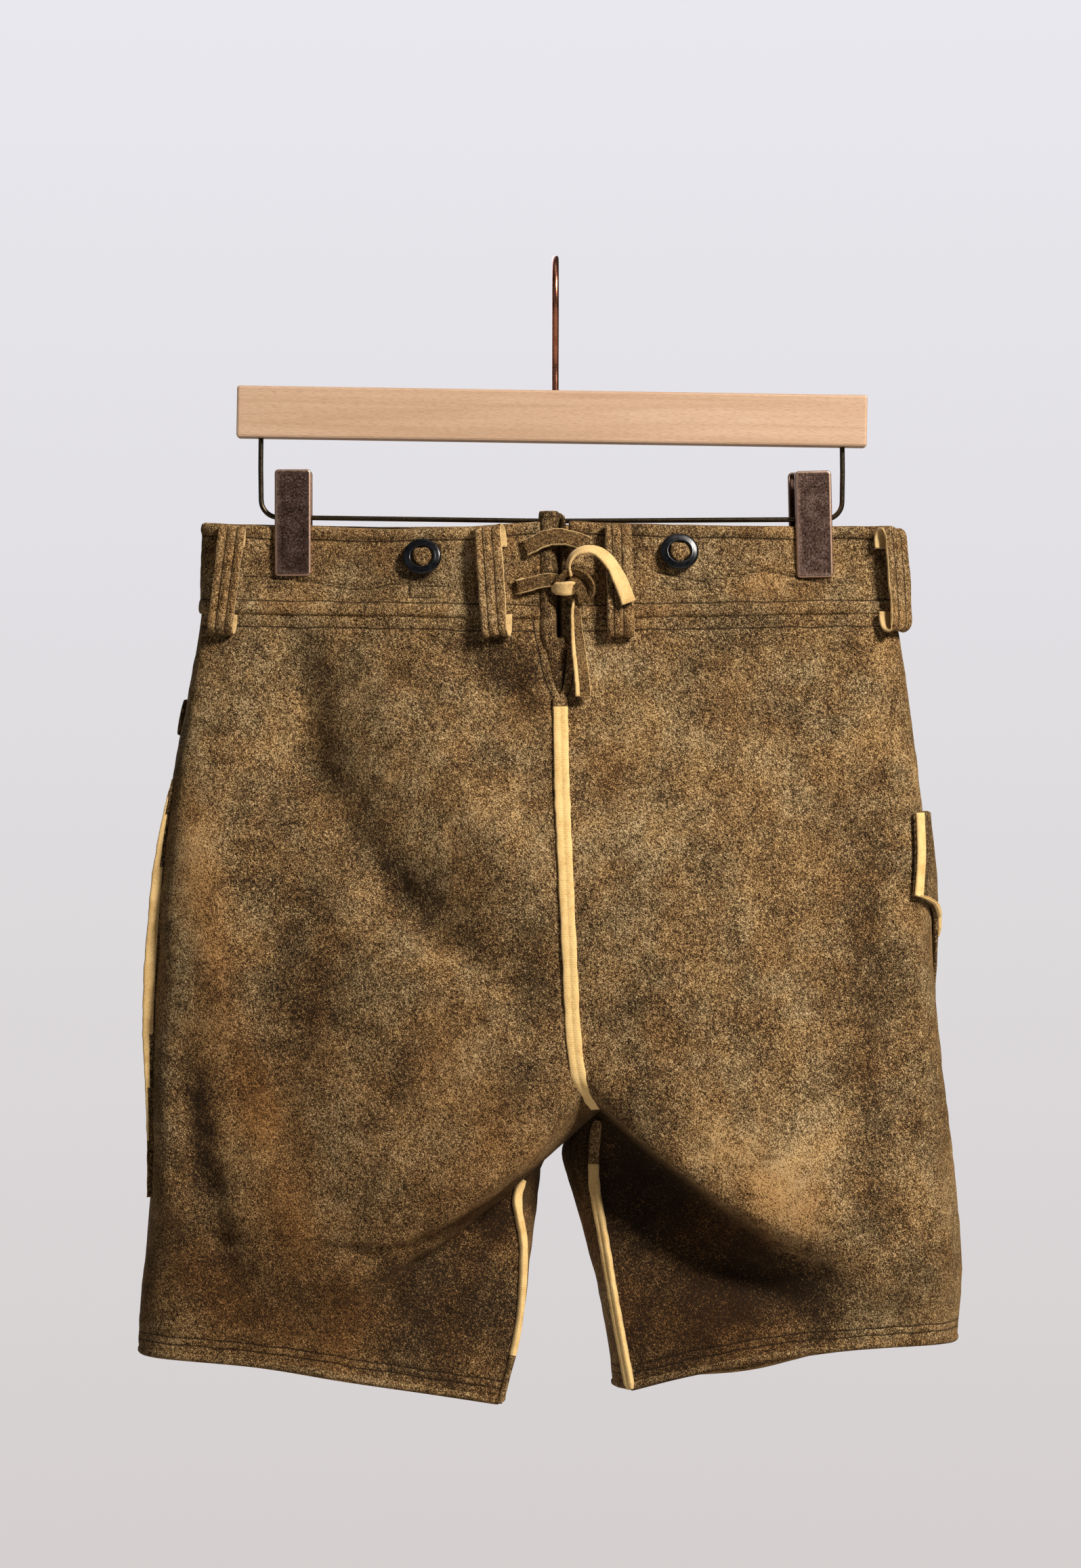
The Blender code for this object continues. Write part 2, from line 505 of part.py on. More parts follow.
def add_gusset(leather):
    """The insert behind the open vent: a sheet, and a pleat standing in front of it."""
    profile = ((-1.4, 3.2), (-1.0, 3.6), (-0.62, 7.4), (-0.1, 8.6), (0.3, 8.4), (0.6, 3.8),
               (0.95, 3.2), (1.4, 3.2))      # across as a share of the vent, depth behind the edge
    rows = [-0.12, 0.5, 1, 1.5, 2, 2.4, 2.8]
    seam = smooth_line(BACK_SEAM, np.clip(rows, 0, None))
    outer = []
    for row, point in zip(rows, seam):
        width = VENT_HALF_WIDTH * np.sqrt(np.clip(VENT_FOOT - row, 0, 1))
        rise = -row * 26 if row < 0 else 0
        narrow = max(width, 5.5)
        outer.append([[point[0] + part * narrow, point[1] + depth, point[2] + rise]
                      for part, depth in profile])
    outer = np.array(outer)
    inner = outer + np.array([0, 1.8, 0])
    add_wall("gusset_sheet", outer, inner, leather)
    half_width, front_depth, back_depth = 4.1, 1.6, 4.4
    rings = []
    for z, size in ((-143.4, 0.55), (-145, 0.95), (-160, 1.0), (-180, 1.0), (-205, 1.0),
                    (-212, 0.85), (-216.5, 0.5)):
        row_y = float(np.interp(-z, [150, 180, 205, 248.5], [-14, -18, -22, -31]))
        rings.append([[-3.9 + half_width * size * cos(a),
                       row_y + (front_depth if sin(a) < 0 else back_depth) * size * sin(a), z]
                      for a in (2 * pi * n / 12 for n in range(12))])
    add_rings("gusset_pleat", rings, leather, sharp_angle=70)


def add_knife_pocket(leather, welt):
    """A narrow sheath pocket round the wearer's right side, its mouth wider than its foot."""
    rows = [4.34, 4.7, 5.12, 5.22, 5.34, 6, 6.6, 7.2, 7.6]
    starts = [4.02, 4.02, 4.02, 4.5, 4.95, 5.05, 5.1, 5.2, 5.35]
    outer, inner, edge = [], [], []
    for row, start in zip(rows, starts):
        outer_line, inner_line = [], []
        for station in np.linspace(start, 6.3, 7):
            place, out = facing_at(RIGHT, row, station)
            swell = 1.2 * sin(pi * (station - start) / (6.3 - start))
            outer_line.append(place + out * (POCKET_LIFT + 2.2 + swell))
            inner_line.append(place + out * POCKET_LIFT)
        outer.append(outer_line)
        inner.append(inner_line)
        edge.append((outer_line[0], outer_line[1], facing_at(RIGHT, row, start)[1]))
    add_wall("knife_pocket", np.array(outer), np.array(inner), leather)
    section = ((0.3, CLEAR), (5.6, CLEAR), (5.6, 1.6), (4.2, 2.3), (2.9, 1.6), (1.6, 2.3), (0.3, 1.6))
    rings = []
    for point, beside, out in edge[:5]:       # the welt ends where the mouth's edge turns under
        across = unit(beside - point)
        rings.append([point + across * a + out * b for a, b in section])
    add_rings("knife_pocket_welt", rings, welt)


def add_side_tab(leather):
    """A small rounded tab on the wearer's left side."""
    rows, stations = [3.12, 3.25, 3.38, 3.5], [5.02, 5.2, 5.4, 5.6]
    outer, inner = [], []
    for index, row in enumerate(rows):
        outer_line, inner_line = [], []
        for station in stations:
            place, out = facing_at(LEFT, row, station)
            swell = 1.6 if index in (1, 2) else 0.6
            outer_line.append(place + out * (CLEAR + 1.4 + swell))
            inner_line.append(place + out * CLEAR)
        outer.append(outer_line)
        inner.append(inner_line)
    add_wall("side_tab", np.array(outer), np.array(inner), leather)


def add_front_flap(leather):
    """The drop front, lying over the band and the front panels."""
    top, bottom, half_top, half_bottom = -157, -322, 80, 62
    outer, inner = [], []
    for z in np.linspace(top, bottom, 7):
        reach = half_top + (half_bottom - half_top) * (z - top) / (bottom - top)
        outer_line, inner_line = [], []
        for share in (-1, -0.66, -0.33, -0.04, 0.04, 0.33, 0.66, 1):
            place, out = spot(LEFT if share < 0 else RIGHT, share * reach, z, front=True)
            outer_line.append(place + out * (FLAP_LIFT + LEATHER))
            inner_line.append(place + out * FLAP_LIFT)
        outer.append(outer_line)
        inner.append(inner_line)
    add_wall("front_flap", np.array(outer), np.array(inner), leather)


def add_lace(leather):
    """Two rungs across the vent, a knot and two free ends."""
    upright = (0, 0, 1)
    for name, route, wide, readings in (("lace_rung_upper", LACE_UPPER, LACE_WIDE, 13),
                                        ("lace_rung_lower", LACE_LOWER, LOWER_RUNG_WIDE, 9)):
        add_ribbon(name, route, [upright] * len(route), wide, LACE_THICK, leather, readings)
    knot_x, knot_y, knot_z = LACE_KNOT
    rings = []
    for level in (-0.92, -0.6, 0, 0.6, 0.92):
        size = (1 - level**2) ** 0.5
        rings.append([[knot_x + 10.2 * size * cos(a), knot_y + 3.6 * size * sin(a), knot_z + 9.4 * level]
                      for a in (2 * pi * n / 12 for n in range(12))])
    add_rings("lace_knot", rings, leather, sharp_angle=80)
    rising_across = [np.cross(np.array(b) - np.array(a), (0.15, 1, 0.1)) for a, b in
                     zip(LACE_RISING[:1] + LACE_RISING[:-1], LACE_RISING[1:] + LACE_RISING[-1:])]
    add_ribbon("lace_end_rising", LACE_RISING, rising_across, LACE_WIDE, LACE_THICK, leather, 19)
    add_ribbon("lace_end_hanging", LACE_HANGING, [(1, -0.1, 0)] * len(LACE_HANGING), LACE_WIDE,
               LACE_THICK, leather, 13)


# ---------------------------------------------------------------- the clip hanger
def add_block(name, size, place, material, bevel=0.0):
    """A plain block, with its edges broken by a small bevel if asked."""
    x, y, z = (value / 2 for value in size)
    points = [(px, py, pz) for px in (-x, x) for py in (-y, y) for pz in (-z, z)]
    faces = [(0, 1, 3, 2), (4, 6, 7, 5), (0, 4, 5, 1), (2, 3, 7, 6), (0, 2, 6, 4), (1, 5, 7, 3)]
    block = add_solid(name, points, faces, material)
    block.location = Vector(place) * MM
    if bevel:
        broken = block.modifiers.new("broken edges", "BEVEL")
        broken.width = bevel * MM
        broken.segments = 2
    return block


def add_rod(name, radius, length, place, sides=16):
    """A plain upright rod, used to cut holes."""
    rings = [[(radius * cos(2 * pi * n / sides), radius * sin(2 * pi * n / sides), z)
              for n in range(sides)] for z in (-length / 2, length / 2)]
    rod = add_rings(name, rings, None)
    rod.location = Vector(place) * MM
    return rod


def cut(solid, cutter):
    """Take the cutter's shape out of a solid; the cutter itself isn't part of the object."""
    cutter.hide_render = True
    cutter.display_type = "WIRE"
    hole = solid.modifiers.new(f"cut by {cutter.name}", "BOOLEAN")
    hole.operation = "DIFFERENCE"
    hole.object = cutter


def bar_height(x):
    """Middle of the leaning bar at a place along it."""
    return BAR["z"] - (x - BAR["x"]) * sin(radians(BAR["tilt"]))


def add_hanger(wood, copper, brass):
    bar = add_block("hanger_bar", (BAR["length"], BAR["thick"], BAR["tall"]),
                    (BAR["x"], 0, BAR["z"]), wood, bevel=BAR_BEVEL)
    bar.rotation_euler = (0, radians(BAR["tilt"]), 0)
    for name, x, side, wire in (("hook", 0, 1, HOOK_WIRE), ("left", FRAME_LEFT, -1, FRAME_WIRE),
                                ("right", FRAME_RIGHT, -1, FRAME_WIRE)):
        face = bar_height(x) + side * BAR["tall"] / 2
        cut(bar, add_rod(f"cutter_{name}", wire / 2 + HOLE_PLAY, HOLE_DEPTH * 2, (x, 0, face)))

    crown_z = HOOK_WIRE / 2 - HOOK_RADIUS
    arc = [(0.0, -HOOK_RADIUS * cos(radians(turn)), crown_z + HOOK_RADIUS * sin(radians(turn)))
           for turn in range(-20, 211, 23)]
    foot = bar_height(0) + BAR["tall"] / 2 - HOLE_DEPTH + 1
    route = [(0, 0, foot), (0, 0, -70), (0, -0.2, -60), (0, -4.5, -50), (0, -13, -40)] + arc
    add_wire("hanger_hook", route, HOOK_WIRE, copper, 44, sides=2)

    bends = []
    for x, z, start in ((FRAME_LEFT, FRAME_Z_LEFT, 180), (FRAME_RIGHT, FRAME_Z_RIGHT, 270)):
        inward = 1 if x < 0 else -1
        centre = (x + inward * FRAME_BEND, z + FRAME_BEND)
        turns = [radians(start + turn) for turn in (0, 22.5, 45, 67.5, 90)]
        bends.append([(centre[0] + FRAME_BEND * cos(turn), 0, centre[1] + FRAME_BEND * sin(turn))
                      for turn in turns])
    tops = [bar_height(x) - BAR["tall"] / 2 + HOLE_DEPTH - 1 for x in (FRAME_LEFT, FRAME_RIGHT)]
    route = [(FRAME_LEFT, 0, tops[0])] + bends[0] + bends[1] + [(FRAME_RIGHT, 0, tops[1])]
    add_wire("hanger_frame", route, FRAME_WIRE, brass, len(route), sides=2)


def add_clip(side, sizes, copper, steel):
    """Two jaws and the spring barrel between them, closed on the band."""
    lean = radians(sizes["lean"])
    corner, half_wide, half_tall = CLIP["corner"], CLIP["wide"] / 2, CLIP["tall"] / 2
    for jaw, facing, shift in (("front", -1, 0), ("rear", 1, sizes["rear_shift"])):
        outline = []
        for cx, cz, start in ((1, 1, 0), (-1, 1, 90), (-1, -1, 180), (1, -1, 270)):
            for turn in (0, 45, 90):
                outline.append((cx * (half_wide - corner) + corner * cos(radians(start + turn)),
                                cz * (half_tall - corner) + corner * sin(radians(start + turn))))
        near, far = CLIP["mouth"] * facing, (CLIP["mouth"] + CLIP["thick"]) * facing
        rings = [[(sizes["x"] + shift + x * cos(lean) - z * sin(lean), y,
                   sizes["z"] + x * sin(lean) + z * cos(lean)) for x, z in outline]
                 for y in (near, far)]
        add_rings(f"clip_{side}_{jaw}_jaw", rings, copper, sharp_angle=30)
    inner, outer, half_long = FRAME_WIRE / 2 + HOLE_PLAY, SPRING_RADIUS, SPRING_HALF_LONG
    profile = ((-half_long, inner), (-half_long, outer), (half_long, outer), (half_long, inner))
    turns = [2 * pi * n / 14 for n in range(14)]
    rings = [[(sizes["x"] + x, radius * sin(turn), sizes["wire_z"] + radius * cos(turn))
              for x, radius in profile] for turn in turns]
    add_rings(f"clip_{side}_spring", rings, steel, closed=True, sharp_angle=60)


# ---------------------------------------------------------------- the whole object
def build():
    for old in list(bpy.data.objects):
        bpy.data.objects.remove(old, do_unlink=True)

    suede = make_material("olive brown suede", (0.13, 0.085, 0.035), 0.95)
    pale_leather = make_material("pale buckskin", (0.62, 0.45, 0.2), 0.85)
    horn = make_material("black horn", (0.01, 0.01, 0.012), 0.25)
    beech = make_material("beech", (0.72, 0.5, 0.33), 0.55)
    copper = make_material("antique copper", (0.16, 0.075, 0.05), 0.4, 1.0)
    hook_copper = make_material("bright copper wire", (0.55, 0.25, 0.15), 0.3, 1.0)
    bronze = make_material("dark bronze wire", (0.11, 0.09, 0.06), 0.4, 1.0)

    rows = BAND_ROWS + BODY_ROWS[1:]
    grids, normals = whole_surface(rows)
    add_panels(grids, normals, suede)
    add_welts(grids, normals, rows, pale_leather)
    add_gusset(suede)
    add_knife_pocket(suede, pale_leather)
    add_side_tab(suede)
    add_front_flap(suede)

    add_belt_loop("belt_loop_left", LEFT, (-184.5, -153), (-190, -213), False, suede)
    add_belt_loop("belt_loop_centre_left", LEFT, (-38, -154.5), (-34, -214.5), False, suede)
    add_belt_loop("belt_loop_centre_right", RIGHT, (35, -153), (36.5, -215), False, suede)
    add_belt_loop("belt_loop_right", RIGHT, None, None, False, suede, station=(0.1, 2.25, 4.55, 4.45))
    add_belt_loop("belt_loop_front_left", LEFT, (-128, -153), (-129, -213), True, suede)
    add_belt_loop("belt_loop_front_right", RIGHT, (122, -153), (123, -213), True, suede)

    add_button("brace_button_back_left", LEFT, -75.3, -168.4, BAND_PROUD, horn, suede)
    add_button("brace_button_back_right", RIGHT, 69.9, -165.5, BAND_PROUD, horn, suede)
    add_button("brace_button_front_left", LEFT, -102, -168, FRONT_BUTTON_LIFT, horn, suede, front=True)
    add_button("brace_button_front_right", RIGHT, 98, -168, FRONT_BUTTON_LIFT, horn, suede, front=True)
    add_button("flap_button_left", LEFT, -62, -172, FLAP_BUTTON_LIFT, horn, suede, front=True)
    add_button("flap_button_right", RIGHT, 62, -172, FLAP_BUTTON_LIFT, horn, suede, front=True)

    add_lace(suede)
    add_hanger(beech, hook_copper, bronze)
    for side, sizes in CLIPS.items():
        add_clip(side, sizes, copper, bronze)


build()
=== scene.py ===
from math import cos, pi, radians, sin

import bmesh
import bpy
import numpy as np
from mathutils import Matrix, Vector


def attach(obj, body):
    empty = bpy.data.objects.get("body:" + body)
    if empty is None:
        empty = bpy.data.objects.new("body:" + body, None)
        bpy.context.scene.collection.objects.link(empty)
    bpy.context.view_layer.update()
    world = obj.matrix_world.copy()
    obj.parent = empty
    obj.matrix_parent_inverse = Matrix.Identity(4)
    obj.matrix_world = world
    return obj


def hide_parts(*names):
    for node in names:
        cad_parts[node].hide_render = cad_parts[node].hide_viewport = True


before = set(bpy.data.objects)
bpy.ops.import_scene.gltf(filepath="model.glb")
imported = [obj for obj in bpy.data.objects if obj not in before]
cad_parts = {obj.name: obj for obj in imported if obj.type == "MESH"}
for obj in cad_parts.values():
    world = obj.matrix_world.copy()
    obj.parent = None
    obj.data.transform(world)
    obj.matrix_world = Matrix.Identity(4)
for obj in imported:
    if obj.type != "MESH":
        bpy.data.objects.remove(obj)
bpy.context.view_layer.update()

# Places and sizes are in millimetres and become metres as each mesh is made.
# x runs to the wearer's right, y to the wearer's front, z up; the hook's crown is the origin.
mm = 0.001
left, right = -1, 1
farAway = 60.0      # a distance from any stitching at which none is seen
print("frame loaded:", len(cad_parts), "nodes")

# camera, light and stage
view = {"place": (-0.0085, -2.2, -0.2988), "lens": 88.2}
studio = {"key": {"place": (1.3, -1.5, 1.05), "size": 0.55, "watts": 84, "colour": "#fff8f0"},
          "fill": {"place": (-1.7, -1.6, 0.2), "size": 1.6, "watts": 2.2, "colour": "#eef2ff"},
          "top": {"place": (0.1, -0.3, 1.6), "size": 1.2, "watts": 3, "colour": "#ffffff"},
          "behind": {"place": (-0.6, 1.9, 0.7), "size": 1.6, "watts": 19, "colour": "#f4f4ff"}}
backdrop = {"sky": "#ebebf2", "ground": "#d2ccca", "light": 0.06}
stage = {"height": -1.35, "radius": 2.8, "colour": "#dad6d3", "roughness": 0.9}
aimPoint = (0, 0, -0.4)


def toLinear(hexColour):
    channels = [int(hexColour[i:i + 2], 16) / 255 for i in (1, 3, 5)]
    return (*(c / 12.92 if c <= 0.04045 else ((c + 0.055) / 1.055) ** 2.4 for c in channels), 1.0)


def addNode(tree, kind, settings=None, **inputs):
    node = tree.nodes.new(kind)
    for name, value in (settings or {}).items():
        setattr(node, name, value)
    for name, value in inputs.items():
        socket = node.inputs[int(name[1:])] if name[1:].isdigit() else node.inputs[name.replace("_", " ")]
        if isinstance(value, bpy.types.NodeSocket):
            tree.links.new(value, socket)
        else:
            socket.default_value = value
    return node


def addMix(tree, share, first, second):
    return addNode(tree, "ShaderNodeMix", {"data_type": "RGBA"}, i0=share, i6=first, i7=second).outputs[2]


def placeCamera():
    camera = bpy.data.objects.new("camera", bpy.data.cameras.new("camera"))
    camera.data.lens = view["lens"]
    camera.location = view["place"]
    camera.rotation_euler = (radians(90), 0, 0)
    bpy.context.scene.collection.objects.link(camera)
    bpy.context.scene.camera = camera


def lightStudio():
    for name, lamp in studio.items():
        light = bpy.data.lights.new(name, "AREA")
        light.shape = "DISK"
        light.size = lamp["size"]
        light.energy = lamp["watts"]
        light.color = toLinear(lamp["colour"])[:3]
        holder = bpy.data.objects.new(name, light)
        holder.location = lamp["place"]
        aim = Vector(aimPoint) - Vector(lamp["place"])
        holder.rotation_euler = aim.to_track_quat("-Z", "Y").to_euler()
        bpy.context.scene.collection.objects.link(holder)
    world = bpy.data.worlds.new("studio")
    world.use_nodes = True
    bpy.context.scene.world = world
    tree = world.node_tree
    tree.nodes.clear()
    place = addNode(tree, "ShaderNodeTexCoord")
    height = addNode(tree, "ShaderNodeSeparateXYZ", Vector=place.outputs["Generated"])
    rise = addNode(tree, "ShaderNodeMapRange", i0=height.outputs["Z"], i1=-0.25, i2=0.25)
    wall = addMix(tree, rise.outputs[0], toLinear(backdrop["ground"]), toLinear(backdrop["sky"]))
    seen = addNode(tree, "ShaderNodeBackground", Color=wall, Strength=1.0)
    lit = addNode(tree, "ShaderNodeBackground", Color=wall, Strength=backdrop["light"])
    ray = addNode(tree, "ShaderNodeLightPath")
    both = addNode(tree, "ShaderNodeMixShader", i0=ray.outputs["Is Camera Ray"],
                   i1=lit.outputs[0], i2=seen.outputs[0])
    addNode(tree, "ShaderNodeOutputWorld", Surface=both.outputs[0])
    bpy.context.scene.view_settings.view_transform = "Standard"
    bpy.ops.mesh.primitive_circle_add(vertices=96, radius=stage["radius"], fill_type="NGON",
                                      location=(0, 0, stage["height"]))
    floor = bpy.context.object
    floor.name = "floor"
    paint = bpy.data.materials.new("pale floor paint")
    paint.use_nodes = True
    shader = paint.node_tree.nodes["Principled BSDF"]
    shader.inputs["Base Color"].default_value = toLinear(stage["colour"])
    shader.inputs["Roughness"].default_value = stage["roughness"]
    floor.data.materials.append(paint)


placeCamera()
lightStudio()
print("camera and light ready")


# materials
def startMaterial(name, roughness, metallic=0.0, specular=0.5):
    material = bpy.data.materials.new(name)
    material.use_nodes = True
    shader = material.node_tree.nodes["Principled BSDF"]
    shader.inputs["Roughness"].default_value = roughness
    shader.inputs["Metallic"].default_value = metallic
    shader.inputs["Specular IOR Level"].default_value = specular
    return material, material.node_tree, shader


def addRamp(tree, factor, stops):
    ramp = addNode(tree, "ShaderNodeValToRGB", i0=factor)
    elements = ramp.color_ramp.elements
    while len(elements) < len(stops):
        elements.new(0.5)
    for element, (place, colour) in zip(elements, stops):
        element.position = place
        element.color = toLinear(colour)
    return ramp.outputs[0]


def addMath(tree, operation, first, second=0.0, third=0.0, clamp=False):
    settings = {"operation": operation, "use_clamp": clamp}
    return addNode(tree, "ShaderNodeMath", settings, i0=first, i1=second, i2=third).outputs[0]


def readValue(tree, name):
    # a number stored on the mesh
    return addNode(tree, "ShaderNodeAttribute", {"attribute_name": name}).outputs["Fac"]


def joinLook(tree, shader, colour, relief=None, strength=0.0, depth=mm):
    # the colour and, where one is given, the relief
    tree.links.new(colour, shader.inputs["Base Color"])
    if relief is not None:
        bump = addNode(tree, "ShaderNodeBump", None, Strength=strength, Distance=depth, Height=relief)
        tree.links.new(bump.outputs[0], shader.inputs["Normal"])


def addNoise(tree, place, spacing, detail=2.0, roughness=0.5, distortion=0.0):
    # spacing is the size of one blot in millimetres
    return addNode(tree, "ShaderNodeTexNoise", None, Vector=place, Scale=1000 / spacing, Detail=detail,
                   Roughness=roughness, Distortion=distortion).outputs[0]


# suede: deerskin, chamois tanned and buffed to a nap, dyed olive brown; the tips of the nap
# are golden and the dye stays dark between them, so the eye sees a speckle in cloudy patches
suedeLook = {"grain": 1.5, "lay": 58, "stretch": 1.4, "fleck": 0.5, "blot": 9, "cloud": 38, "hue": 30,
             "grainStrength": 2.0, "fleckStrength": 1.7, "blotStrength": 0.7, "cloudStrength": 0.54,
             "middle": 0.44, "relief": 0.6, "grainDeep": 1.6, "blotDeep": 0.6, "fleckDeep": 0.5,
             "sheen": 0.22, "sheenRoughness": 0.55, "sheenTint": "#c8a068"}
# a row of stitching: its thread sits in a groove and the leather puffs up beside it
stitching = {"deep": -0.7, "puff": -0.9, "puffReach": 3.2, "dark": 0.82, "thread": "#1d130b"}
# how far each row lies from the edge or seam it follows
stitchRows = {"bandTop": 6.6, "bandFoot": -7.2, "step": 7.6, "hem": (8.4, 12.6), "vent": 3.6, "strap": 2.7}
suedeStops = {"grey": [(0.0, "#1d150c"), (0.25, "#443420"), (0.5, "#6f593b"), (0.75, "#9b835b"),
                       (1.0, "#c7ae86")],
              "tan": [(0.0, "#20140a"), (0.25, "#48321a"), (0.5, "#755938"), (0.75, "#a28254"),
                      (1.0, "#caa976")],
              "rubbed": [(0.0, "#27170a"), (0.5, "#6f4b26"), (1.0, "#b0824c")]}
thongStops = {"grey": [(0.0, "#1c130b"), (0.5, "#5b4429"), (1.0, "#94774d")],
              "tan": [(0.0, "#20140c"), (0.5, "#664a2b"), (1.0, "#a5834f")],
              "rubbed": [(0.0, "#2c1a0c"), (0.5, "#7b5028"), (1.0, "#b8854e")]}


def makeSuede(name, stops, grooves=(), shade=0.0):
    material, tree, shader = startMaterial(name, 0.95, specular=0.15)
    look = suedeLook
    place = addNode(tree, "ShaderNodeTexCoord").outputs["Object"]
    tone, rub = readValue(tree, "tone"), readValue(tree, "rub")
    brushed = addNode(tree, "ShaderNodeMapping", {"vector_type": "TEXTURE"}, Vector=place,
                      Rotation=(0, radians(look["lay"]), 0), Scale=(look["stretch"], 1, 1)).outputs[0]
    grain = addNoise(tree, brushed, look["grain"], 3.0, 0.85)
    fleck = addNoise(tree, brushed, look["fleck"], 0.0)
    blot = addNoise(tree, place, look["blot"], 3.0, 0.65)
    cloud = addNoise(tree, place, look["cloud"], 2.0, 0.55)
    calm = addMath(tree, "MULTIPLY_ADD", rub, -0.5, look["grainStrength"])
    value = addMath(tree, "MULTIPLY", addMath(tree, "SUBTRACT", grain, 0.5), calm)
    for layer, strength in ((fleck, look["fleckStrength"]), (blot, look["blotStrength"]),
                            (cloud, look["cloudStrength"])):
        value = addMath(tree, "MULTIPLY_ADD", addMath(tree, "SUBTRACT", layer, 0.5), strength, value)
    value = addMath(tree, "ADD", value, tone)
    value = addMath(tree, "ADD", value, look["middle"] + shade, clamp=True)
    hue = addNode(tree, "ShaderNodeMapRange", None, i0=addNoise(tree, place, look["hue"], 4.0, 0.7),
                  i1=0.4, i2=0.6).outputs[0]
    nap = addMix(tree, hue, addRamp(tree, value, stops["grey"]), addRamp(tree, value, stops["tan"]))
    colour = addMix(tree, rub, nap, addRamp(tree, value, stops["rubbed"]))
    relief = addMath(tree, "MULTIPLY_ADD", grain, look["grainDeep"],
                     addMath(tree, "MULTIPLY", blot, look["blotDeep"]))
    relief = addMath(tree, "MULTIPLY_ADD", fleck, look["fleckDeep"], relief)
    for attribute, places, width in grooves:
        along = readValue(tree, attribute)
        for at in places:
            away = addMath(tree, "ABSOLUTE", addMath(tree, "SUBTRACT", along, at))
            groove = addNode(tree, "ShaderNodeMapRange", {"interpolation_type": "SMOOTHSTEP"}, i0=away,
                             i1=width * 0.25, i2=width, i3=1.0, i4=0.0).outputs[0]
            puff = addNode(tree, "ShaderNodeMapRange", {"interpolation_type": "SMOOTHERSTEP"}, i0=away,
                           i1=0.0, i2=stitching["puffReach"], i3=stitching["puff"], i4=0.0).outputs[0]
            sunk = addMath(tree, "MULTIPLY_ADD", groove, stitching["deep"], puff)
            relief = addMath(tree, "ADD", relief, sunk)
            dark = addMath(tree, "MULTIPLY", groove, stitching["dark"])
            colour = addMix(tree, dark, colour, toLinear(stitching["thread"]))
    joinLook(tree, shader, colour, relief, look["relief"])
    shader.inputs["Sheen Weight"].default_value = look["sheen"]
    shader.inputs["Sheen Roughness"].default_value = look["sheenRoughness"]
    shader.inputs["Sheen Tint"].default_value = toLinear(look["sheenTint"])
    return material


# pale buckskin: the same skin left undyed, ribbed finely where it is rolled over its seam
def makePaleLeather(name, light, dark, rib=None):
    material, tree, shader = startMaterial(name, 0.85, specular=0.2)
    place = addNode(tree, "ShaderNodeTexCoord").outputs["Object"]
    fibre = addNoise(tree, place, 0.9, 2.0, 0.6, 0.3)
    stain = addNoise(tree, place, 9, 3.0, 0.6)
    value = addMath(tree, "MULTIPLY_ADD", fibre, 0.5, addMath(tree, "MULTIPLY", stain, 0.6))
    relief = addMath(tree, "MULTIPLY", fibre, 0.3)
    if rib:
        height = addNode(tree, "ShaderNodeSeparateXYZ", Vector=place).outputs["Z"]
        wander = addMath(tree, "MULTIPLY", stain, 0.6 * mm)
        turns = addMath(tree, "MULTIPLY", addMath(tree, "ADD", height, wander), 2 * pi / (rib * mm))
        ribs = addMath(tree, "SINE", turns)
        value = addMath(tree, "MULTIPLY_ADD", ribs, 0.012, value)
        relief = addMath(tree, "MULTIPLY_ADD", ribs, 0.03, relief)
    joinLook(tree, shader, addRamp(tree, value, [(0.3, dark), (0.62, light)]), relief, 0.8)
    shader.inputs["Sheen Weight"].default_value = 0.15
    return material


# horn: buffalo horn turned on a lathe, near black, with a soft polish and faint streaks
def makeHorn():
    material, tree, shader = startMaterial("black horn", 0.3, specular=0.4)
    place = addNode(tree, "ShaderNodeTexCoord").outputs["Object"]
    streak = addNoise(tree, place, 2.5, 3.0, 0.6)
    joinLook(tree, shader, addRamp(tree, streak, [(0.35, "#06070a"), (0.7, "#101217")]))
    gloss = addNode(tree, "ShaderNodeMapRange", i0=streak, i1=0.3, i2=0.7, i3=0.22, i4=0.34)
    tree.links.new(gloss.outputs[0], shader.inputs["Roughness"])
    return material


# beech: planed and matt varnished, straight pale grain with short dark flecks along it
def makeBeech():
    material, tree, shader = startMaterial("varnished beech", 0.45, specular=0.4)
    place = addNode(tree, "ShaderNodeTexCoord").outputs["Object"]
    lean = addNode(tree, "ShaderNodeMapping", None, Vector=place, Rotation=(0, radians(-0.9), 0)).outputs[0]
    boards = addNode(tree, "ShaderNodeMapping", None, Vector=lean, Scale=(0.035, 1, 1)).outputs[0]
    flecks = addNode(tree, "ShaderNodeMapping", None, Vector=lean, Scale=(0.06, 1, 1)).outputs[0]
    bands = addNoise(tree, boards, 5.5, 3.0, 0.55, 0.6)
    fleck = addNoise(tree, flecks, 0.22, 2.0, 0.5)
    streak = addNode(tree, "ShaderNodeMapRange", None, i0=fleck, i1=0.46, i2=0.68, i3=0.0, i4=0.6).outputs[0]
    base = addRamp(tree, bands, [(0.3, "#c09e80"), (0.5, "#cba98c"), (0.72, "#d4b497")])
    joinLook(tree, shader, addMix(tree, streak, base, toLinear("#a78362")), fleck, 0.35, 0.1 * mm)
    return material


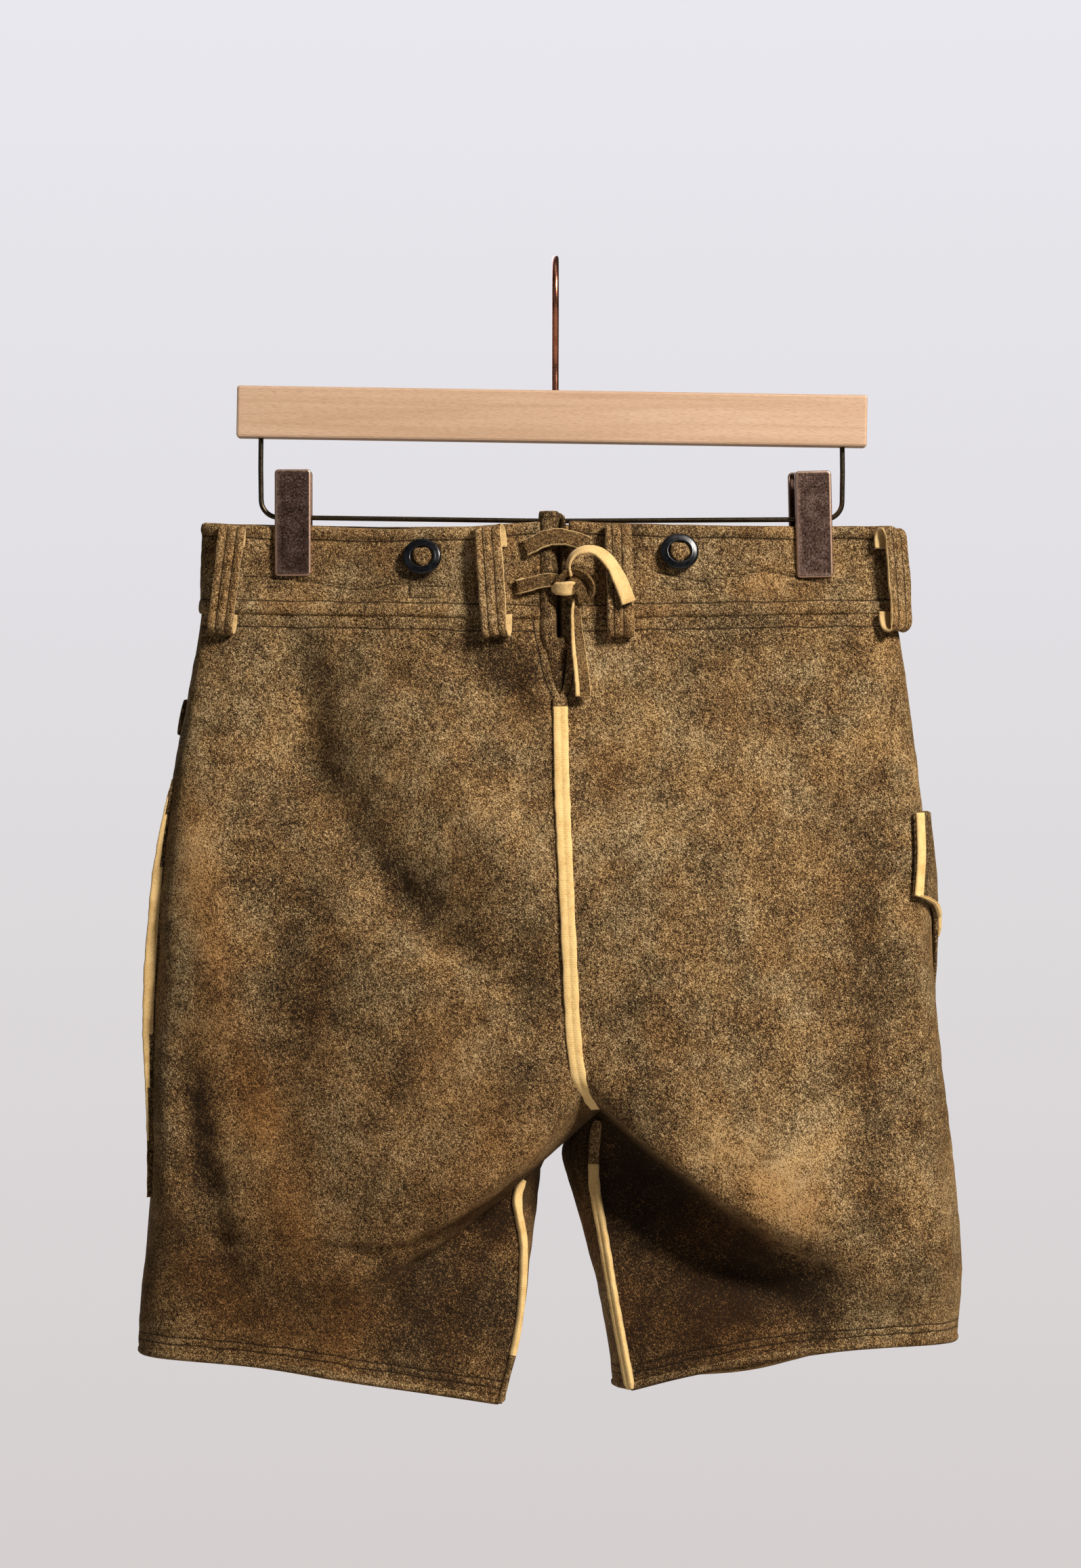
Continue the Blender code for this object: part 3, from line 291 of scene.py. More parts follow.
# antique copper: steel plated with copper, blackened and tumbled; bright where edges rub
def makeAntiqueCopper(name, stops, worn, roughness):
    material, tree, shader = startMaterial(name, roughness, metallic=1.0)
    place = addNode(tree, "ShaderNodeTexCoord").outputs["Object"]
    patina = addNoise(tree, place, 1.1, 3.0, 0.7)
    blotch = addNoise(tree, place, 7, 2.0, 0.6)
    value = addMath(tree, "MULTIPLY_ADD", patina, 0.7, addMath(tree, "MULTIPLY", blotch, 0.3))
    base = addRamp(tree, value, stops)
    colour = addMix(tree, readValue(tree, "worn"), base, toLinear(worn))
    joinLook(tree, shader, colour, patina, 0.4, 0.1 * mm)
    rough = addMath(tree, "MULTIPLY_ADD", patina, 0.3, roughness - 0.15)
    tree.links.new(rough, shader.inputs["Roughness"])
    return material


suede = makeSuede("olive suede", suedeStops)
# stored distance, rows of stitching along it, width of a stitch
bandSuede = makeSuede("waistband suede", suedeStops,
                      [("fromTop", (stitchRows["bandTop"],), 0.75),
                       ("fromStep", (stitchRows["bandFoot"],), 0.75), ("facing", (0.0,), 0.8)], 0.02)
panelSuede = makeSuede("panel suede", suedeStops,
                       [("fromStep", (stitchRows["step"],), 0.7), ("fromHem", stitchRows["hem"], 0.7),
                        ("fromVent", (stitchRows["vent"],), 0.75)])
strapSuede = makeSuede("strap suede", suedeStops,
                       [("across", (-stitchRows["strap"], stitchRows["strap"]), 0.6)], 0.04)
thongSuede = makeSuede("thong grain side", thongStops)
paleWelt = makePaleLeather("ribbed buckskin welt", "#f0cd8a", "#c99f5c", rib=1.3)
fleshSide = makePaleLeather("pale flesh side", "#e6c385", "#b98f52")
cutEdge = makePaleLeather("cut edge of the thong", "#d3b47c", "#94713f")
inside = makePaleLeather("worn flesh side", "#b08a55", "#7a5a33")
blackHorn = makeHorn()
beech = makeBeech()
antiqueCopper = makeAntiqueCopper("antique copper", [(0.36, "#35261f"), (0.5, "#664f46"), (0.64, "#9c8277")],
                                  "#d8b49d", 0.42)
wireCopper = makeAntiqueCopper("copper wire", [(0.3, "#8a5340"), (0.6, "#b87a60")], "#d79a7c", 0.3)
wireBronze = makeAntiqueCopper("bronze wire", [(0.3, "#3a3226"), (0.6, "#5f5442")], "#8c7d61", 0.34)
print("materials ready")


# meshes
def makePiece(name, points, faces, materials, kinds=None, values=None, replaces=()):
    mesh = bpy.data.meshes.new(name)
    mesh.from_pydata((np.asarray(points, float) * mm).tolist(), [], [tuple(f) for f in faces])
    for material in materials:
        mesh.materials.append(material)
    if kinds is not None:
        mesh.polygons.foreach_set("material_index", np.asarray(kinds, np.int32))
    for label, numbers in (values or {}).items():
        layer = mesh.attributes.new(label, "FLOAT", "POINT")
        layer.data.foreach_set("value", np.asarray(numbers, np.float32))
    sides = bmesh.new()
    sides.from_mesh(mesh)
    bmesh.ops.recalc_face_normals(sides, faces=sides.faces)
    sides.to_mesh(mesh)
    sides.free()
    mesh.shade_smooth()
    mesh.update()
    piece = bpy.data.objects.new(name, mesh)
    bpy.context.scene.collection.objects.link(piece)
    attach(piece, "root")
    if replaces:
        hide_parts(*replaces)
    return piece


def plain(points, tone=0.0, rub=0.0):
    # the same tone and rub at every point
    return {"tone": np.full(len(points), tone), "rub": np.full(len(points), rub)}


def unit(vectors):
    return vectors / np.maximum(np.linalg.norm(vectors, axis=-1, keepdims=True), 1e-9)


def squareTo(line, sideways):
    # directions across a line and up from it, from rough sideways ones
    along = unit(np.gradient(line, axis=0))
    across = unit(sideways - along * np.sum(sideways * along, axis=1, keepdims=True))
    return across, np.cross(along, across)


def lengths(points):
    # distance along a line of points to each of them
    return np.concatenate([[0], np.cumsum(np.linalg.norm(np.diff(points, axis=0), axis=1))])


def smoothLine(points, where):
    # a smooth curve through the points, read at fractional point numbers
    points = np.asarray(points, float)
    where = np.asarray(where, float)
    steps = np.diff(points, axis=0)
    gaps = np.sqrt(np.maximum(np.linalg.norm(steps, axis=1), 0.5))
    slopes = steps / gaps[:, None]
    lean = (gaps[1:] / (gaps[1:] + gaps[:-1]))[:, None]
    tangents = np.vstack([slopes[:1], slopes[:-1] * lean + slopes[1:] * (1 - lean), slopes[-1:]])
    start = np.clip(np.floor(where).astype(int), 0, len(points) - 2)
    t = (where - start)[:, None]
    span = gaps[start][:, None]
    return (points[start] * (2 * t**3 - 3 * t**2 + 1) + points[start + 1] * (3 * t**2 - 2 * t**3)
            + span * (tangents[start] * (t**3 - 2 * t**2 + t) + tangents[start + 1] * (t**3 - t**2)))


def evenly(points, spacing):
    # point numbers along a line of points, about the same distance apart
    fine = np.linspace(0, len(points) - 1, 40 * len(points))
    line = smoothLine(points, fine)
    run = lengths(line)
    return np.interp(np.linspace(0, run[-1], max(2, int(run[-1] / spacing) + 1)), run, fine)


def ringFaces(rings, around, closed=False, caps=True):
    faces = []
    for ring in range(rings if closed else rings - 1):
        first, second = ring * around, ((ring + 1) % rings) * around
        for corner in range(around):
            beside = (corner + 1) % around
            faces.append((first + corner, second + corner, second + beside, first + beside))
    if caps and not closed:
        faces.append(tuple(range(around)))
        faces.append(tuple((rings - 1) * around + corner for corner in reversed(range(around))))
    return faces


def gentleNoise(places, spacing, seed):
    # smooth, repeatable unevenness from a few waves, between about -1 and 1
    places = np.asarray(places, float)
    draw = np.random.default_rng(seed)
    total = np.zeros(places.shape[:-1])
    for _ in range(7):
        direction = unit(draw.normal(size=3))
        length = spacing * draw.uniform(0.6, 1.7)
        total += np.sin(places @ direction * 2 * pi / length + draw.uniform(0, 2 * pi))
    return total / 3.2


# the lace: straps cut from the same skin, brown on the grain side and pale on the flesh side
lace = {"wide": 8.0, "thick": 1.7, "rungWide": 9.6, "lowerWide": 7.8,
        "upper": [(-17.5, -19.6, -165), (-11.6, -20.6, -162.4), (-6.6, -21.2, -159.9), (1.6, -21.4, -158.5),
                  (8.1, -21.2, -159.4), (14.3, -21.2, -161.2), (18, -21, -163)],
        "lower": [(-17, -20.6, -185.2), (-20.4, -20.8, -186.4), (-21.9, -22, -187.1), (-20.6, -23.2, -187.2),
                  (-15.5, -23.8, -185.9), (-7.8, -24.2, -183.8), (-1.2, -24.6, -183.4), (4, -25.4, -185)],
        "rising": [(8.4, -28.6, -181), (7.4, -30.4, -174.6), (10.4, -31.4, -169.2), (16.4, -32.4, -166.6),
                   (22.8, -33.2, -167.2), (28.2, -33.6, -170.9), (32.7, -33.8, -176.7), (36.4, -33.8, -183.8),
                   (39.2, -33.6, -190.4), (41.4, -33.2, -196.6)],
        "hanging": [(11.8, -26.6, -193.4), (11.5, -27.2, -202.7), (11.9, -28.6, -211), (12.7, -30.6, -220),
                    (13.8, -33.4, -230), (14.9, -36, -240), (15.6, -38, -249.5)]}


def layStrap(name, route, across, wide, thick, faceMaterial, backMaterial, step=1.0, taper=None,
             replaces=(), seed=1, firstFace=2, lastFace=8):
    # a strap with rounded edges; its face looks along across x route
    route = np.asarray(route, float)
    where = evenly(route, step)
    line = smoothLine(route, where)
    sideways, upward = squareTo(line, unit(smoothLine(np.asarray(across, float) * 10, where)))
    share = np.linspace(0, 1, len(line))
    widths = wide * np.interp(share, *taper) if taper else np.full(len(line), wide)
    half = thick / 2
    spots = [(-1, -0.55), (-0.97, 0.6), (-0.88, 1)] + [(a, 1) for a in (-0.5, -0.2, 0.1, 0.4, 0.7)] + \
            [(0.88, 1), (0.97, 0.6), (1, -0.55), (0.9, -1)] + [(a, -1) for a in (0.5, 0, -0.5)] + [(-0.9, -1)]
    points = []
    for index, (point, side, up) in enumerate(zip(line, sideways, upward)):
        ragged = gentleNoise(point[None], 5, seed)[0] * 0.22
        for a, b in spots:
            points.append(point + side * (widths[index] / 2 + ragged) * a + up * half * b)
    faces = ringFaces(len(line), len(spots))
    kinds = [0 if firstFace <= face % len(spots) < lastFace and face < len(faces) - 2 else 1
             for face in range(len(faces))]
    piece = makePiece(name, points, faces, [faceMaterial, backMaterial], kinds, plain(points), replaces)
    return piece, line


def tieLace():
    rising = np.array(lace["rising"], float)
    ahead = unit(np.vstack([rising[1:], rising[-1:]]) - np.vstack([rising[:1], rising[:-1]]))
    outward = unit(np.cross(ahead, (0, 1, 0)))
    # the strap turns its edge forward near the knot and lies flatter along its way
    tilts = np.radians(np.interp(np.arange(len(rising)), [0, 1, 3, 5, 7, 9], [80, 74, 54, 36, 24, 18]))
    tilts = tilts[:, None]
    twist = outward * np.cos(tilts) + np.array([0, 1, 0]) * np.sin(tilts)
    piece, line = layStrap("lace_rising", rising, twist, lace["wide"], lace["thick"], fleshSide, thongSuede,
                           taper=((0, 0.2, 0.5, 1), (0.7, 0.8, 0.98, 1.12)),
                           replaces=["lace_end_rising"], seed=3, firstFace=0)
    hanging = np.array(lace["hanging"], float)
    piece, line = layStrap("lace_hanging", hanging, [(0.94, 0.34, 0)] * len(hanging), lace["wide"],
                           lace["thick"], thongSuede, fleshSide,
                           taper=((0, 0.2, 0.6, 1), (0.55, 0.82, 1.1, 1.2)), replaces=["lace_end_hanging"],
                           seed=4, firstFace=3)
    layStrap("lace_upper_rung", lace["upper"], [(0, 0.25, 1)] * len(lace["upper"]), lace["rungWide"],
             lace["thick"], thongSuede, cutEdge, replaces=["lace_rung_upper"], seed=5)
    layStrap("lace_lower_rung", lace["lower"], [(0, 0.2, 1)] * len(lace["lower"]), lace["lowerWide"],
             lace["thick"], thongSuede, cutEdge, replaces=["lace_rung_lower"], seed=6)


tieLace()
print("lace laid")


# the shape of the cloth: lengthwise rows, waist edge to hem, by girthwise stations
# station 0 is the centre back or inseam, 5 the side seam, 11 the centre front or inseam
shape = {"ventFoot": 3, "crotch": 10, "side": 5, "last": 11, "ventHalfWide": 8.9, "leather": 2.2,
         "bandProud": 1.2, "bandBehind": 2.4, "foldHalfDepth": 4.2, "cornerDepth": 0.62}
backSeam = [(-0.4, -14, -150), (-0.4, -18, -180), (-0.4, -22, -205), (2.4, -31, -248.5), (3.5, -42, -300),
            (5.7, -52, -353), (8.2, -58, -405), (9.8, -60, -438), (13, -59, -462), (18, -50, -473),
            (25, -24, -484)]
frontSeam = [(0, 12, -150), (0, 16, -180), (0, 20, -204), (0, 27, -248), (0, 36, -300), (0, 42, -353),
             (0, 46, -405), (0, 46, -440), (1, 34, -474), (3, 4, -488), (25, -24, -484)]
inseam = {left: [(1, -21, -505), (-21, -24, -528), (-18.5, -29, -561), (-21.5, -33, -604), (-32, -36, -648)],
          right: [(22.5, -20, -504), (22.3, -22, -525), (27.5, -28, -556), (34.5, -33, -597),
                  (42.5, -37, -640)]}
innerThigh = {left: [(-5, 2, -500), (-9, 4, -512), (-10, 5, -533), (-15, 4, -563), (-21, 3, -606),
                     (-31.5, 2, -652)],
              right: [(10, 3, -497), (3.5, 3, -508), (9, 4, -530), (18, 3, -560), (27.5, 2, -602),
                      (33.5, 2, -643)]}
# side line x and z, depth near the seam, in the middle and far from it, sag of the row, roundness of the side
backPanels = {left: [(-201, -150, -13, -8, -3.2, -4, 8), (-202, -178, -16, -10, -3.6, -1, 9),
                     (-202.5, -201, -21, -16, -10, 0, 11), (-209.5, -245, -29, -24, -17, 0, 18),
                     (-219, -297, -41, -36, -26, 0, 26), (-225, -352, -52, -47, -35, 0, 32),
                     (-228.5, -405, -60, -55, -41, -8, 36), (-230.5, -452, -63, -59, -45, -22, 38),
                     (-230.8, -492, -65, -62, -47, -38, 38), (-231.5, -530, -62, -59, -47, -54, 38),
                     (-232.5, -542, -36, -56, -45, -42, 38), (-233.5, -555, -29, -53, -43, -42, 38),
                     (-234.5, -568, -30, -50, -41, -34, 38), (-236.5, -584, -34, -46, -40, -23, 38),
                     (-238, -605, -40, -45, -38, -9, 38), (-238, -624, -43, -48, -37, 2.5, 38)],
              right: [(193, -152, -13, -8, -3.2, -1, 10), (194, -178, -16, -10, -3.6, 0, 11),
                      (195, -201, -21, -16, -10, 0, 13), (201.5, -245, -29, -24, -17, 0, 18),
                      (208, -297, -41, -37, -27, 0, 26), (213.5, -352, -52, -48, -36, 0, 32),
                      (216.5, -405, -60, -57, -42, -6, 36), (220.5, -455, -64, -62, -47, -12, 38),
                      (226, -505, -66, -66, -54, -20, 40), (232, -568, -62, -67, -58, -18, 40),
                      (232, -584, -29, -43, -51, -15, 40), (231.5, -592, -26, -35, -46, -18, 38),
                      (231, -598, -28, -34, -43, -15, 38), (230.5, -603, -33, -38, -42, -9, 38),
                      (230, -609, -38, -43, -41, -2, 38), (229.5, -617, -41, -46, -38, 6, 38)]}
frontPanels = [(11, 8, 3.2, -2), (15, 10, 3.6, 0), (20, 16, 10, 0), (27, 24, 17, 0), (36, 33, 26, 0),
               (43, 40, 32, 0), (47, 44, 36, -6), (48, 46, 38, -12), (47, 46, 39, -18), (44, 46, 39, -24),
               (42, 46, 40, -26), (42, 46, 40, -24), (42, 46, 40, -20), (43, 46, 40, -16), (44, 47, 39, -13),
               (45, 48, 38, -11)]
# largest ridges (+) and troughs (-) of the back: two ends, width, height
folds = [((-150, -228), (-140, -288), 19, -5), ((-140, -288), (-84, -366), 21, -7),
         ((-84, -366), (-22, -408), 20, -5), ((-92, -262), (-30, -350), 20, 5),
         ((-212, -447), (-199, -524), 14, -5), ((-199, -524), (-182, -586), 14, -5),
         ((-203, -334), (-184, -431), 18, 3), ((-100, -592), (-64, -606), 14, -3),
         ((-76, -580), (-44, -574), 12, 3), ((124, -498), (159, -530), 26, 6),
         ((186, -327), (190, -455), 16, -4), ((31, -243), (35, -300), 16, -3)]


def netOf(half):
    crotch, deep, corner = shape["crotch"], shape["foldHalfDepth"], shape["cornerDepth"]
    net = np.zeros((16, 12, 3))
    for row, (back, front) in enumerate(zip(backPanels[half], frontPanels)):
        sideX, sideZ, near, middle, far, droop, roundness = back
        below = row > crotch
        backEnd = inseam[half][row - crotch - 1] if below else backSeam[row]
        frontEnd = inseam[half][row - crotch - 1] if below else frontSeam[row]
        turn, beside = sideX - half * roundness, sideX - half * max(roundness * 0.3, 5)
        net[row, 0] = backEnd
        for station, part, depth in ((1, 0.2, near), (2, 0.5, middle), (3, 0.8, far)):
            height = backEnd[2] + (sideZ - backEnd[2]) * part + droop * sin(pi * part)
            net[row, station] = (backEnd[0] + (turn - backEnd[0]) * part, depth, height)
        held = corner if half == right else np.interp(row, [1, 4, 8, 10], [corner, 0.86, 0.8, corner])
        net[row, 4] = (beside, min(far * held, -deep), sideZ + droop * 0.15)
        net[row, 5] = (sideX, 0, sideZ)
        net[row, 6] = (beside, max(front[2] * corner, deep), sideZ + front[3] * 0.15)
        inner = innerThigh[half][row - crotch] if row >= crotch else None
        startX, startZ = (inner[0], inner[2]) if inner else (frontEnd[0], frontEnd[2])
        for station, part, depth in ((7, 0.8, front[2]), (8, 0.5, front[1]), (9, 0.2, front[0])):
            height = startZ + (sideZ - startZ) * part + front[3] * sin(pi * part)
            net[row, station] = (startX + (turn - startX) * part, depth, height)
        net[row, 10] = inner if inner else 0.3 * net[row, 9] + 0.7 * np.array(frontEnd)
        net[row, 11] = frontEnd
    return net


nets = {half: netOf(half) for half in (left, right)}


def foldHeight(x, z):
    height = np.zeros_like(x)
    for (x0, z0), (x1, z1), width, tall in folds:
        runX, runZ = x1 - x0, z1 - z0
        along = np.clip(((x - x0) * runX + (z - z0) * runZ) / (runX**2 + runZ**2), 0, 1)
        away = np.hypot(x - x0 - along * runX, z - z0 - along * runZ)
        height += tall * np.exp(-(away / width) ** 2)
    return height


def surface(half, rows, stations):
    # outer surface of one half, read at fractional rows and stations
    net, crotch = nets[half], shape["crotch"]
    rows, stations = np.asarray(rows, float), np.asarray(stations, float)
    above, below = rows[rows <= crotch], rows[rows > crotch]
    columns = []
    for station in range(12):
        line = net[:, station]
        if station in (0, 10, 11):      # the seams turn into the inseam at the crotch
            columns.append(np.vstack([smoothLine(line[:crotch + 1], above),
                                      smoothLine(line[crotch:], below - crotch)]))
        else:
            columns.append(smoothLine(line, rows))
    grid = np.stack(columns, axis=1)
    grid[:, 0, 0] += half * shape["ventHalfWide"] * np.sqrt(np.clip(shape["ventFoot"] - rows, 0, 1))
    cloth = np.stack([smoothLine(line, stations) for line in grid])
    fromSide = np.clip((shape["side"] - stations) / 1.5, 0, 1)[None, :]
    fromInseam = np.where(rows[:, None] > crotch, np.clip(stations, 0, 1)[None, :], 1)
    cloth[..., 1] -= fromSide * fromInseam * foldHeight(cloth[..., 0], cloth[..., 2])
    return cloth


def facingAt(half, row, station):
    step = 0.02
    near = surface(half, [row - step, row + step], [station - step, station + step])
    out = np.cross(near[1, 0] - near[0, 0], near[0, 1] - near[0, 0])
    return near.mean(axis=(0, 1)), unit(out * half)


def spot(half, x, z, front=False):
    # place and facing of the outer surface at a given x and z
    row, station = 1.5, (8.0 if front else 2.5)
    reach = (5.3, 11) if front else (0, 4.95)
    step = 0.01
    for _ in range(14):
        near = surface(half, [row, row + step], [station, station + step])
        here, down, along = near[0, 0], near[1, 0] - near[0, 0], near[0, 1] - near[0, 0]
        slopes = np.array([[down[0], along[0]], [down[2], along[2]]]) / step
        change = np.linalg.lstsq(slopes, np.array([x - here[0], z - here[2]]), rcond=None)[0]
        row = float(np.clip(row + np.clip(change[0], -1, 1), 0, 6))
        station = float(np.clip(station + np.clip(change[1], -1, 1), *reach))
    return facingAt(half, row, station)


def evenPlaces(line, where, spacing):
    # values of where that step along the line evenly
    run = lengths(line)
    return np.interp(np.linspace(0, run[-1], int(run[-1] / spacing) + 1), run, where)


def lineDistance(x, z, points):
    # distance from each place to a line of points, and how far along the line it is, 0 to 1
    points = np.asarray(points, float)
    best, share = np.full(x.shape, 1e9), np.zeros(x.shape)
    for index, (first, second) in enumerate(zip(points, points[1:])):
        run = second - first
        along = np.clip(((x - first[0]) * run[0] + (z - first[1]) * run[1]) / (run @ run), 0, 1)
        away = np.hypot(x - first[0] - along * run[0], z - first[1] - along * run[1])
        nearer = away < best
        best[nearer] = away[nearer]
        share[nearer] = ((index + along) / (len(points) - 1))[nearer]
    return best, share


def strokes(x, z, lines):
    # sum of soft strokes, each a line with a width and a strength, fading at its ends
    total = np.zeros(x.shape)
    for points, width, strength in lines:
        away, share = lineDistance(x, z, points)
        fade = np.clip(np.minimum(share, 1 - share) / 0.16, 0, 1) ** 0.7
        total += strength * np.exp(-(away / width) ** 2) * fade
    return total


def patches(x, z, spots):
    # sum of soft oval patches: middle, half sizes, lean in degrees, strength
    total = np.zeros(x.shape)
    for px, pz, wide, tall, lean, strength in spots:
        turn = radians(lean)
        across = (x - px) * cos(turn) + (z - pz) * sin(turn)
        up = -(x - px) * sin(turn) + (z - pz) * cos(turn)
        total += strength * np.exp(-(across / wide) ** 2 - (up / tall) ** 2)
    return total


def makeShell(name, outer, inner, materials, values=None, replaces=(), rim=0, bulge=0.32, kindOf=None):
    # a sheet with thickness and rounded edges, from two grids of points
    rows, cols = outer.shape[:2]
    size = rows * cols
    faces, kinds = [], []
    for row in range(rows - 1):
        for col in range(cols - 1):
            a = row * cols + col
            quad = (a, a + cols, a + cols + 1, a + 1)
            faces += [quad, tuple(size + corner for corner in reversed(quad))]
            kinds += [kindOf(row, col) if kindOf else 0, 1]
    border = ([(0, c) for c in range(cols)] + [(r, cols - 1) for r in range(1, rows)]
              + [(rows - 1, c) for c in range(cols - 2, -1, -1)] + [(r, 0) for r in range(rows - 2, 0, -1)])
    middles, flat = [], []
    for r, c in border:
        away = np.zeros(3)
        if r in (0, rows - 1):
            away += unit(outer[r, c] - outer[1 if r == 0 else rows - 2, c])
        if c in (0, cols - 1):
            away += unit(outer[r, c] - outer[r, 1 if c == 0 else cols - 2])
        thick = np.linalg.norm(outer[r, c] - inner[r, c])
        middles.append((outer[r, c] + inner[r, c]) / 2 + unit(away) * thick * bulge)
        flat.append(r * cols + c)
    count = len(border)
    for index in range(count):
        beside = (index + 1) % count
        a, b, m, n = flat[index], flat[beside], 2 * size + index, 2 * size + beside
        faces += [(a, b, n, m), (m, n, size + b, size + a)]
        kinds += [rim, rim]
    points = np.vstack([outer.reshape(-1, 3), inner.reshape(-1, 3), np.array(middles)])
    spread = {}
    for label, grid in (values or {}).items():
        flatGrid = np.asarray(grid, float).reshape(-1)
        spread[label] = np.concatenate([flatGrid, flatGrid, flatGrid[flat]])
    return makePiece(name, points, faces, materials, kinds, spread, replaces)


# creases; darker and lighter places, mostly painted shade in the troughs and under the seat and painted
# highlights on lit bulges, some of them stains; and rubbed places of the back, in x and z
creases = [([(-148, -208), (-143, -250), (-138, -290), (-104, -344), (-72, -382), (-40, -406), (-14, -412)],
            11, -3.4),
           ([(-84, -224), (-69, -262), (-46, -307), (-15, -349)], 13, 3.6),
           ([(-46, -218), (-29, -239), (-10, -263)], 8, -2.4),
           ([(-99, -224), (-84, -243), (-65, -265)], 7, -2.4),
           ([(-115, -222), (-100, -250), (-86, -280)], 9, 2.0),
           ([(-62, -212), (-44, -240), (-30, -270)], 10, -2.4),
           ([(-150, -355), (-139, -370), (-116, -385)], 2.6, -0.8),
           ([(-181, -273), (-162, -275), (-148, -277), (-141, -281)], 2.4, -0.7),
           ([(-120, -296), (-110, -309), (-99, -322)], 2.4, -0.6),
           ([(-205, -317), (-194, -383), (-186, -431), (-167, -469), (-152, -482)], 10, 1.4),
           ([(-169, -472), (-165, -505), (-152, -539), (-137, -573), (-103, -588)], 9, 1.6),
           ([(-211, -451), (-201, -505), (-192, -539), (-182, -573)], 8, -1.8),
           ([(212, -524), (193, -562), (171, -592), (159, -601)], 5, 1.6),
           ([(200, -520), (184, -556), (165, -586)], 7, -1.6),
           ([(55, -543), (99, -554), (125, -565)], 7, 1.3),
           ([(60, -560), (95, -572), (130, -580)], 8, -1.2),
           ([(121, -550), (152, -577), (167, -592)], 6, -1.2),
           ([(-115, -560), (-93, -566), (-70, -562)], 7, -1.8),
           ([(-95, -590), (-78, -594), (-60, -588)], 7, -1.4),
           ([(-80, -575), (-70, -576), (-58, -572)], 5, 1.4),
           ([(60, -215), (66, -262), (60, -320), (70, -366)], 12, -1.3),
           ([(100, -222), (112, -280), (104, -350)], 14, 0.9),
           ([(150, -290), (166, -330), (172, -380), (176, -440)], 10, -1.2),
           ([(30, -330), (55, -368), (90, -400), (128, -425)], 12, -0.8),
           ([(40, -410), (80, -440), (120, -480)], 16, 0.9),
           ([(-60, -420), (-30, -450), (4, -470)], 12, 0.9),
           ([(-120, -440), (-90, -478), (-50, -510)], 14, -0.9),
           ([(-30, -206), (-26, -222), (-20, -240)], 5, -1.0),
           ([(-16, -226), (-13, -244), (-8, -256)], 4, 1.0)]
paintedLightAndStainPatches = [(-25, -233, 16, 16, 0, -0.24), (-141, -421, 22, 50, 0, -0.15), (-176, -415, 13, 30, 0, -0.1),
         (-153, -260, 12, 16, 0, 0.07), (-35, -543, 13, 9, 0, -0.45), (-84, -601, 40, 24, 0, -0.3),
         (-46, -580, 22, 34, 0, -0.16), (-178, -591, 44, 20, 0, -0.15), (-84, -567, 22, 10, 20, -0.2),
         (40, -530, 18, 40, 0, -0.2), (70, -570, 34, 30, 0, -0.18), (120, -585, 46, 20, 14, -0.4),
         (102, -288, 60, 36, 0, 0.06), (129, -521, 24, 22, 0, 0.16), (68, -262, 40, 30, 0, 0.03),
         (-99, -501, 40, 40, 0, 0.03), (-68, -538, 40, 12, 20, -0.08), (193, -603, 24, 14, 0, 0.05),
         (15, -504, 8, 20, 0, -0.3), (-146, -400, 20, 52, 0, -0.12), (-36, -254, 12, 14, 0, 0.12),
         (-12, -231, 8, 10, 0, -0.12), (131, -512, 26, 24, 0, 0.26), (-40, -378, 22, 16, 0, -0.12),
         (178, -345, 9, 34, 0, -0.1), (-206, -545, 16, 44, 0, -0.09), (-150, -590, 80, 34, 0, -0.06),
         (-90, -572, 40, 8, 12, -0.1)]
paintedLightAndStainLines = [([(-46, -218), (-29, -239), (-10, -263)], 11, -0.2),
             ([(-133, -224), (-134, -281), (-113, -308), (-95, -343), (-68, -374), (-38, -394), (-10, -396)],
              13, -0.16),
             ([(-68, -277), (-59, -307), (-38, -332)], 12, 0.08),
             ([(-204, -318), (-202, -360), (-197, -412)], 12, 0.22),
             ([(-201, -468), (-197, -522)], 8, -0.16),
             ([(-203, -239), (-206, -307), (-207, -364), (-205, -406)], 12, 0.07),
             ([(-11, -368), (-9, -402), (-13, -436)], 11, -0.18),
             ([(-209, -444), (-201, -482), (-197, -519), (-186, -561), (-173, -584)], 9, -0.22),
             ([(177, -315), (175, -391), (176, -447), (178, -504), (179, -561)], 11, -0.16),
             ([(68, -485), (96, -497), (123, -518), (131, -546), (136, -561)], 15, 0.12),
             ([(98, -554), (129, -580), (163, -605)], 12, -0.3),
             ([(-150, -355), (-139, -370), (-116, -385)], 2.2, -0.10),
             ([(-181, -273), (-162, -275), (-148, -277), (-141, -281)], 2.0, -0.10)]
rubs = [([(-206, -280), (-204, -330), (-194, -390), (-184, -440), (-166, -480), (-150, -500)], 15, 0.6),
        ([(-168, -450), (-162, -505), (-150, -545), (-130, -580), (-96, -600)], 15, 0.42),
        ([(-70, -420), (-40, -470), (-40, -510), (-70, -540)], 28, 0.35),
        ([(55, -543), (99, -554), (125, -565)], 12, 0.6),
        ([(-215, -560), (-190, -590), (-150, -606), (-90, -618)], 20, 0.6),
        ([(30, -590), (70, -604), (120, -606)], 18, 0.5),
        ([(90, -500), (120, -520), (150, -545)], 20, 0.35)]
frontCreases = [([(-150, -330), (-120, -370), (-80, -400)], 12, -1.6),
                ([(140, -340), (120, -380), (84, -410)], 12, -1.4),
                ([(-190, -420), (-176, -480), (-160, -540)], 11, -1.4),
                ([(188, -430), (170, -500), (158, -560)], 11, 1.3),
                ([(-60, -450), (-40, -480), (-20, -500)], 9, -1.4),
                ([(62, -446), (46, -474), (24, -492)], 9, -1.3),
                ([(-130, -570), (-100, -590), (-60, -600)], 10, 1.2),
                ([(60, -560), (100, -580), (140, -586)], 10, -1.1)]
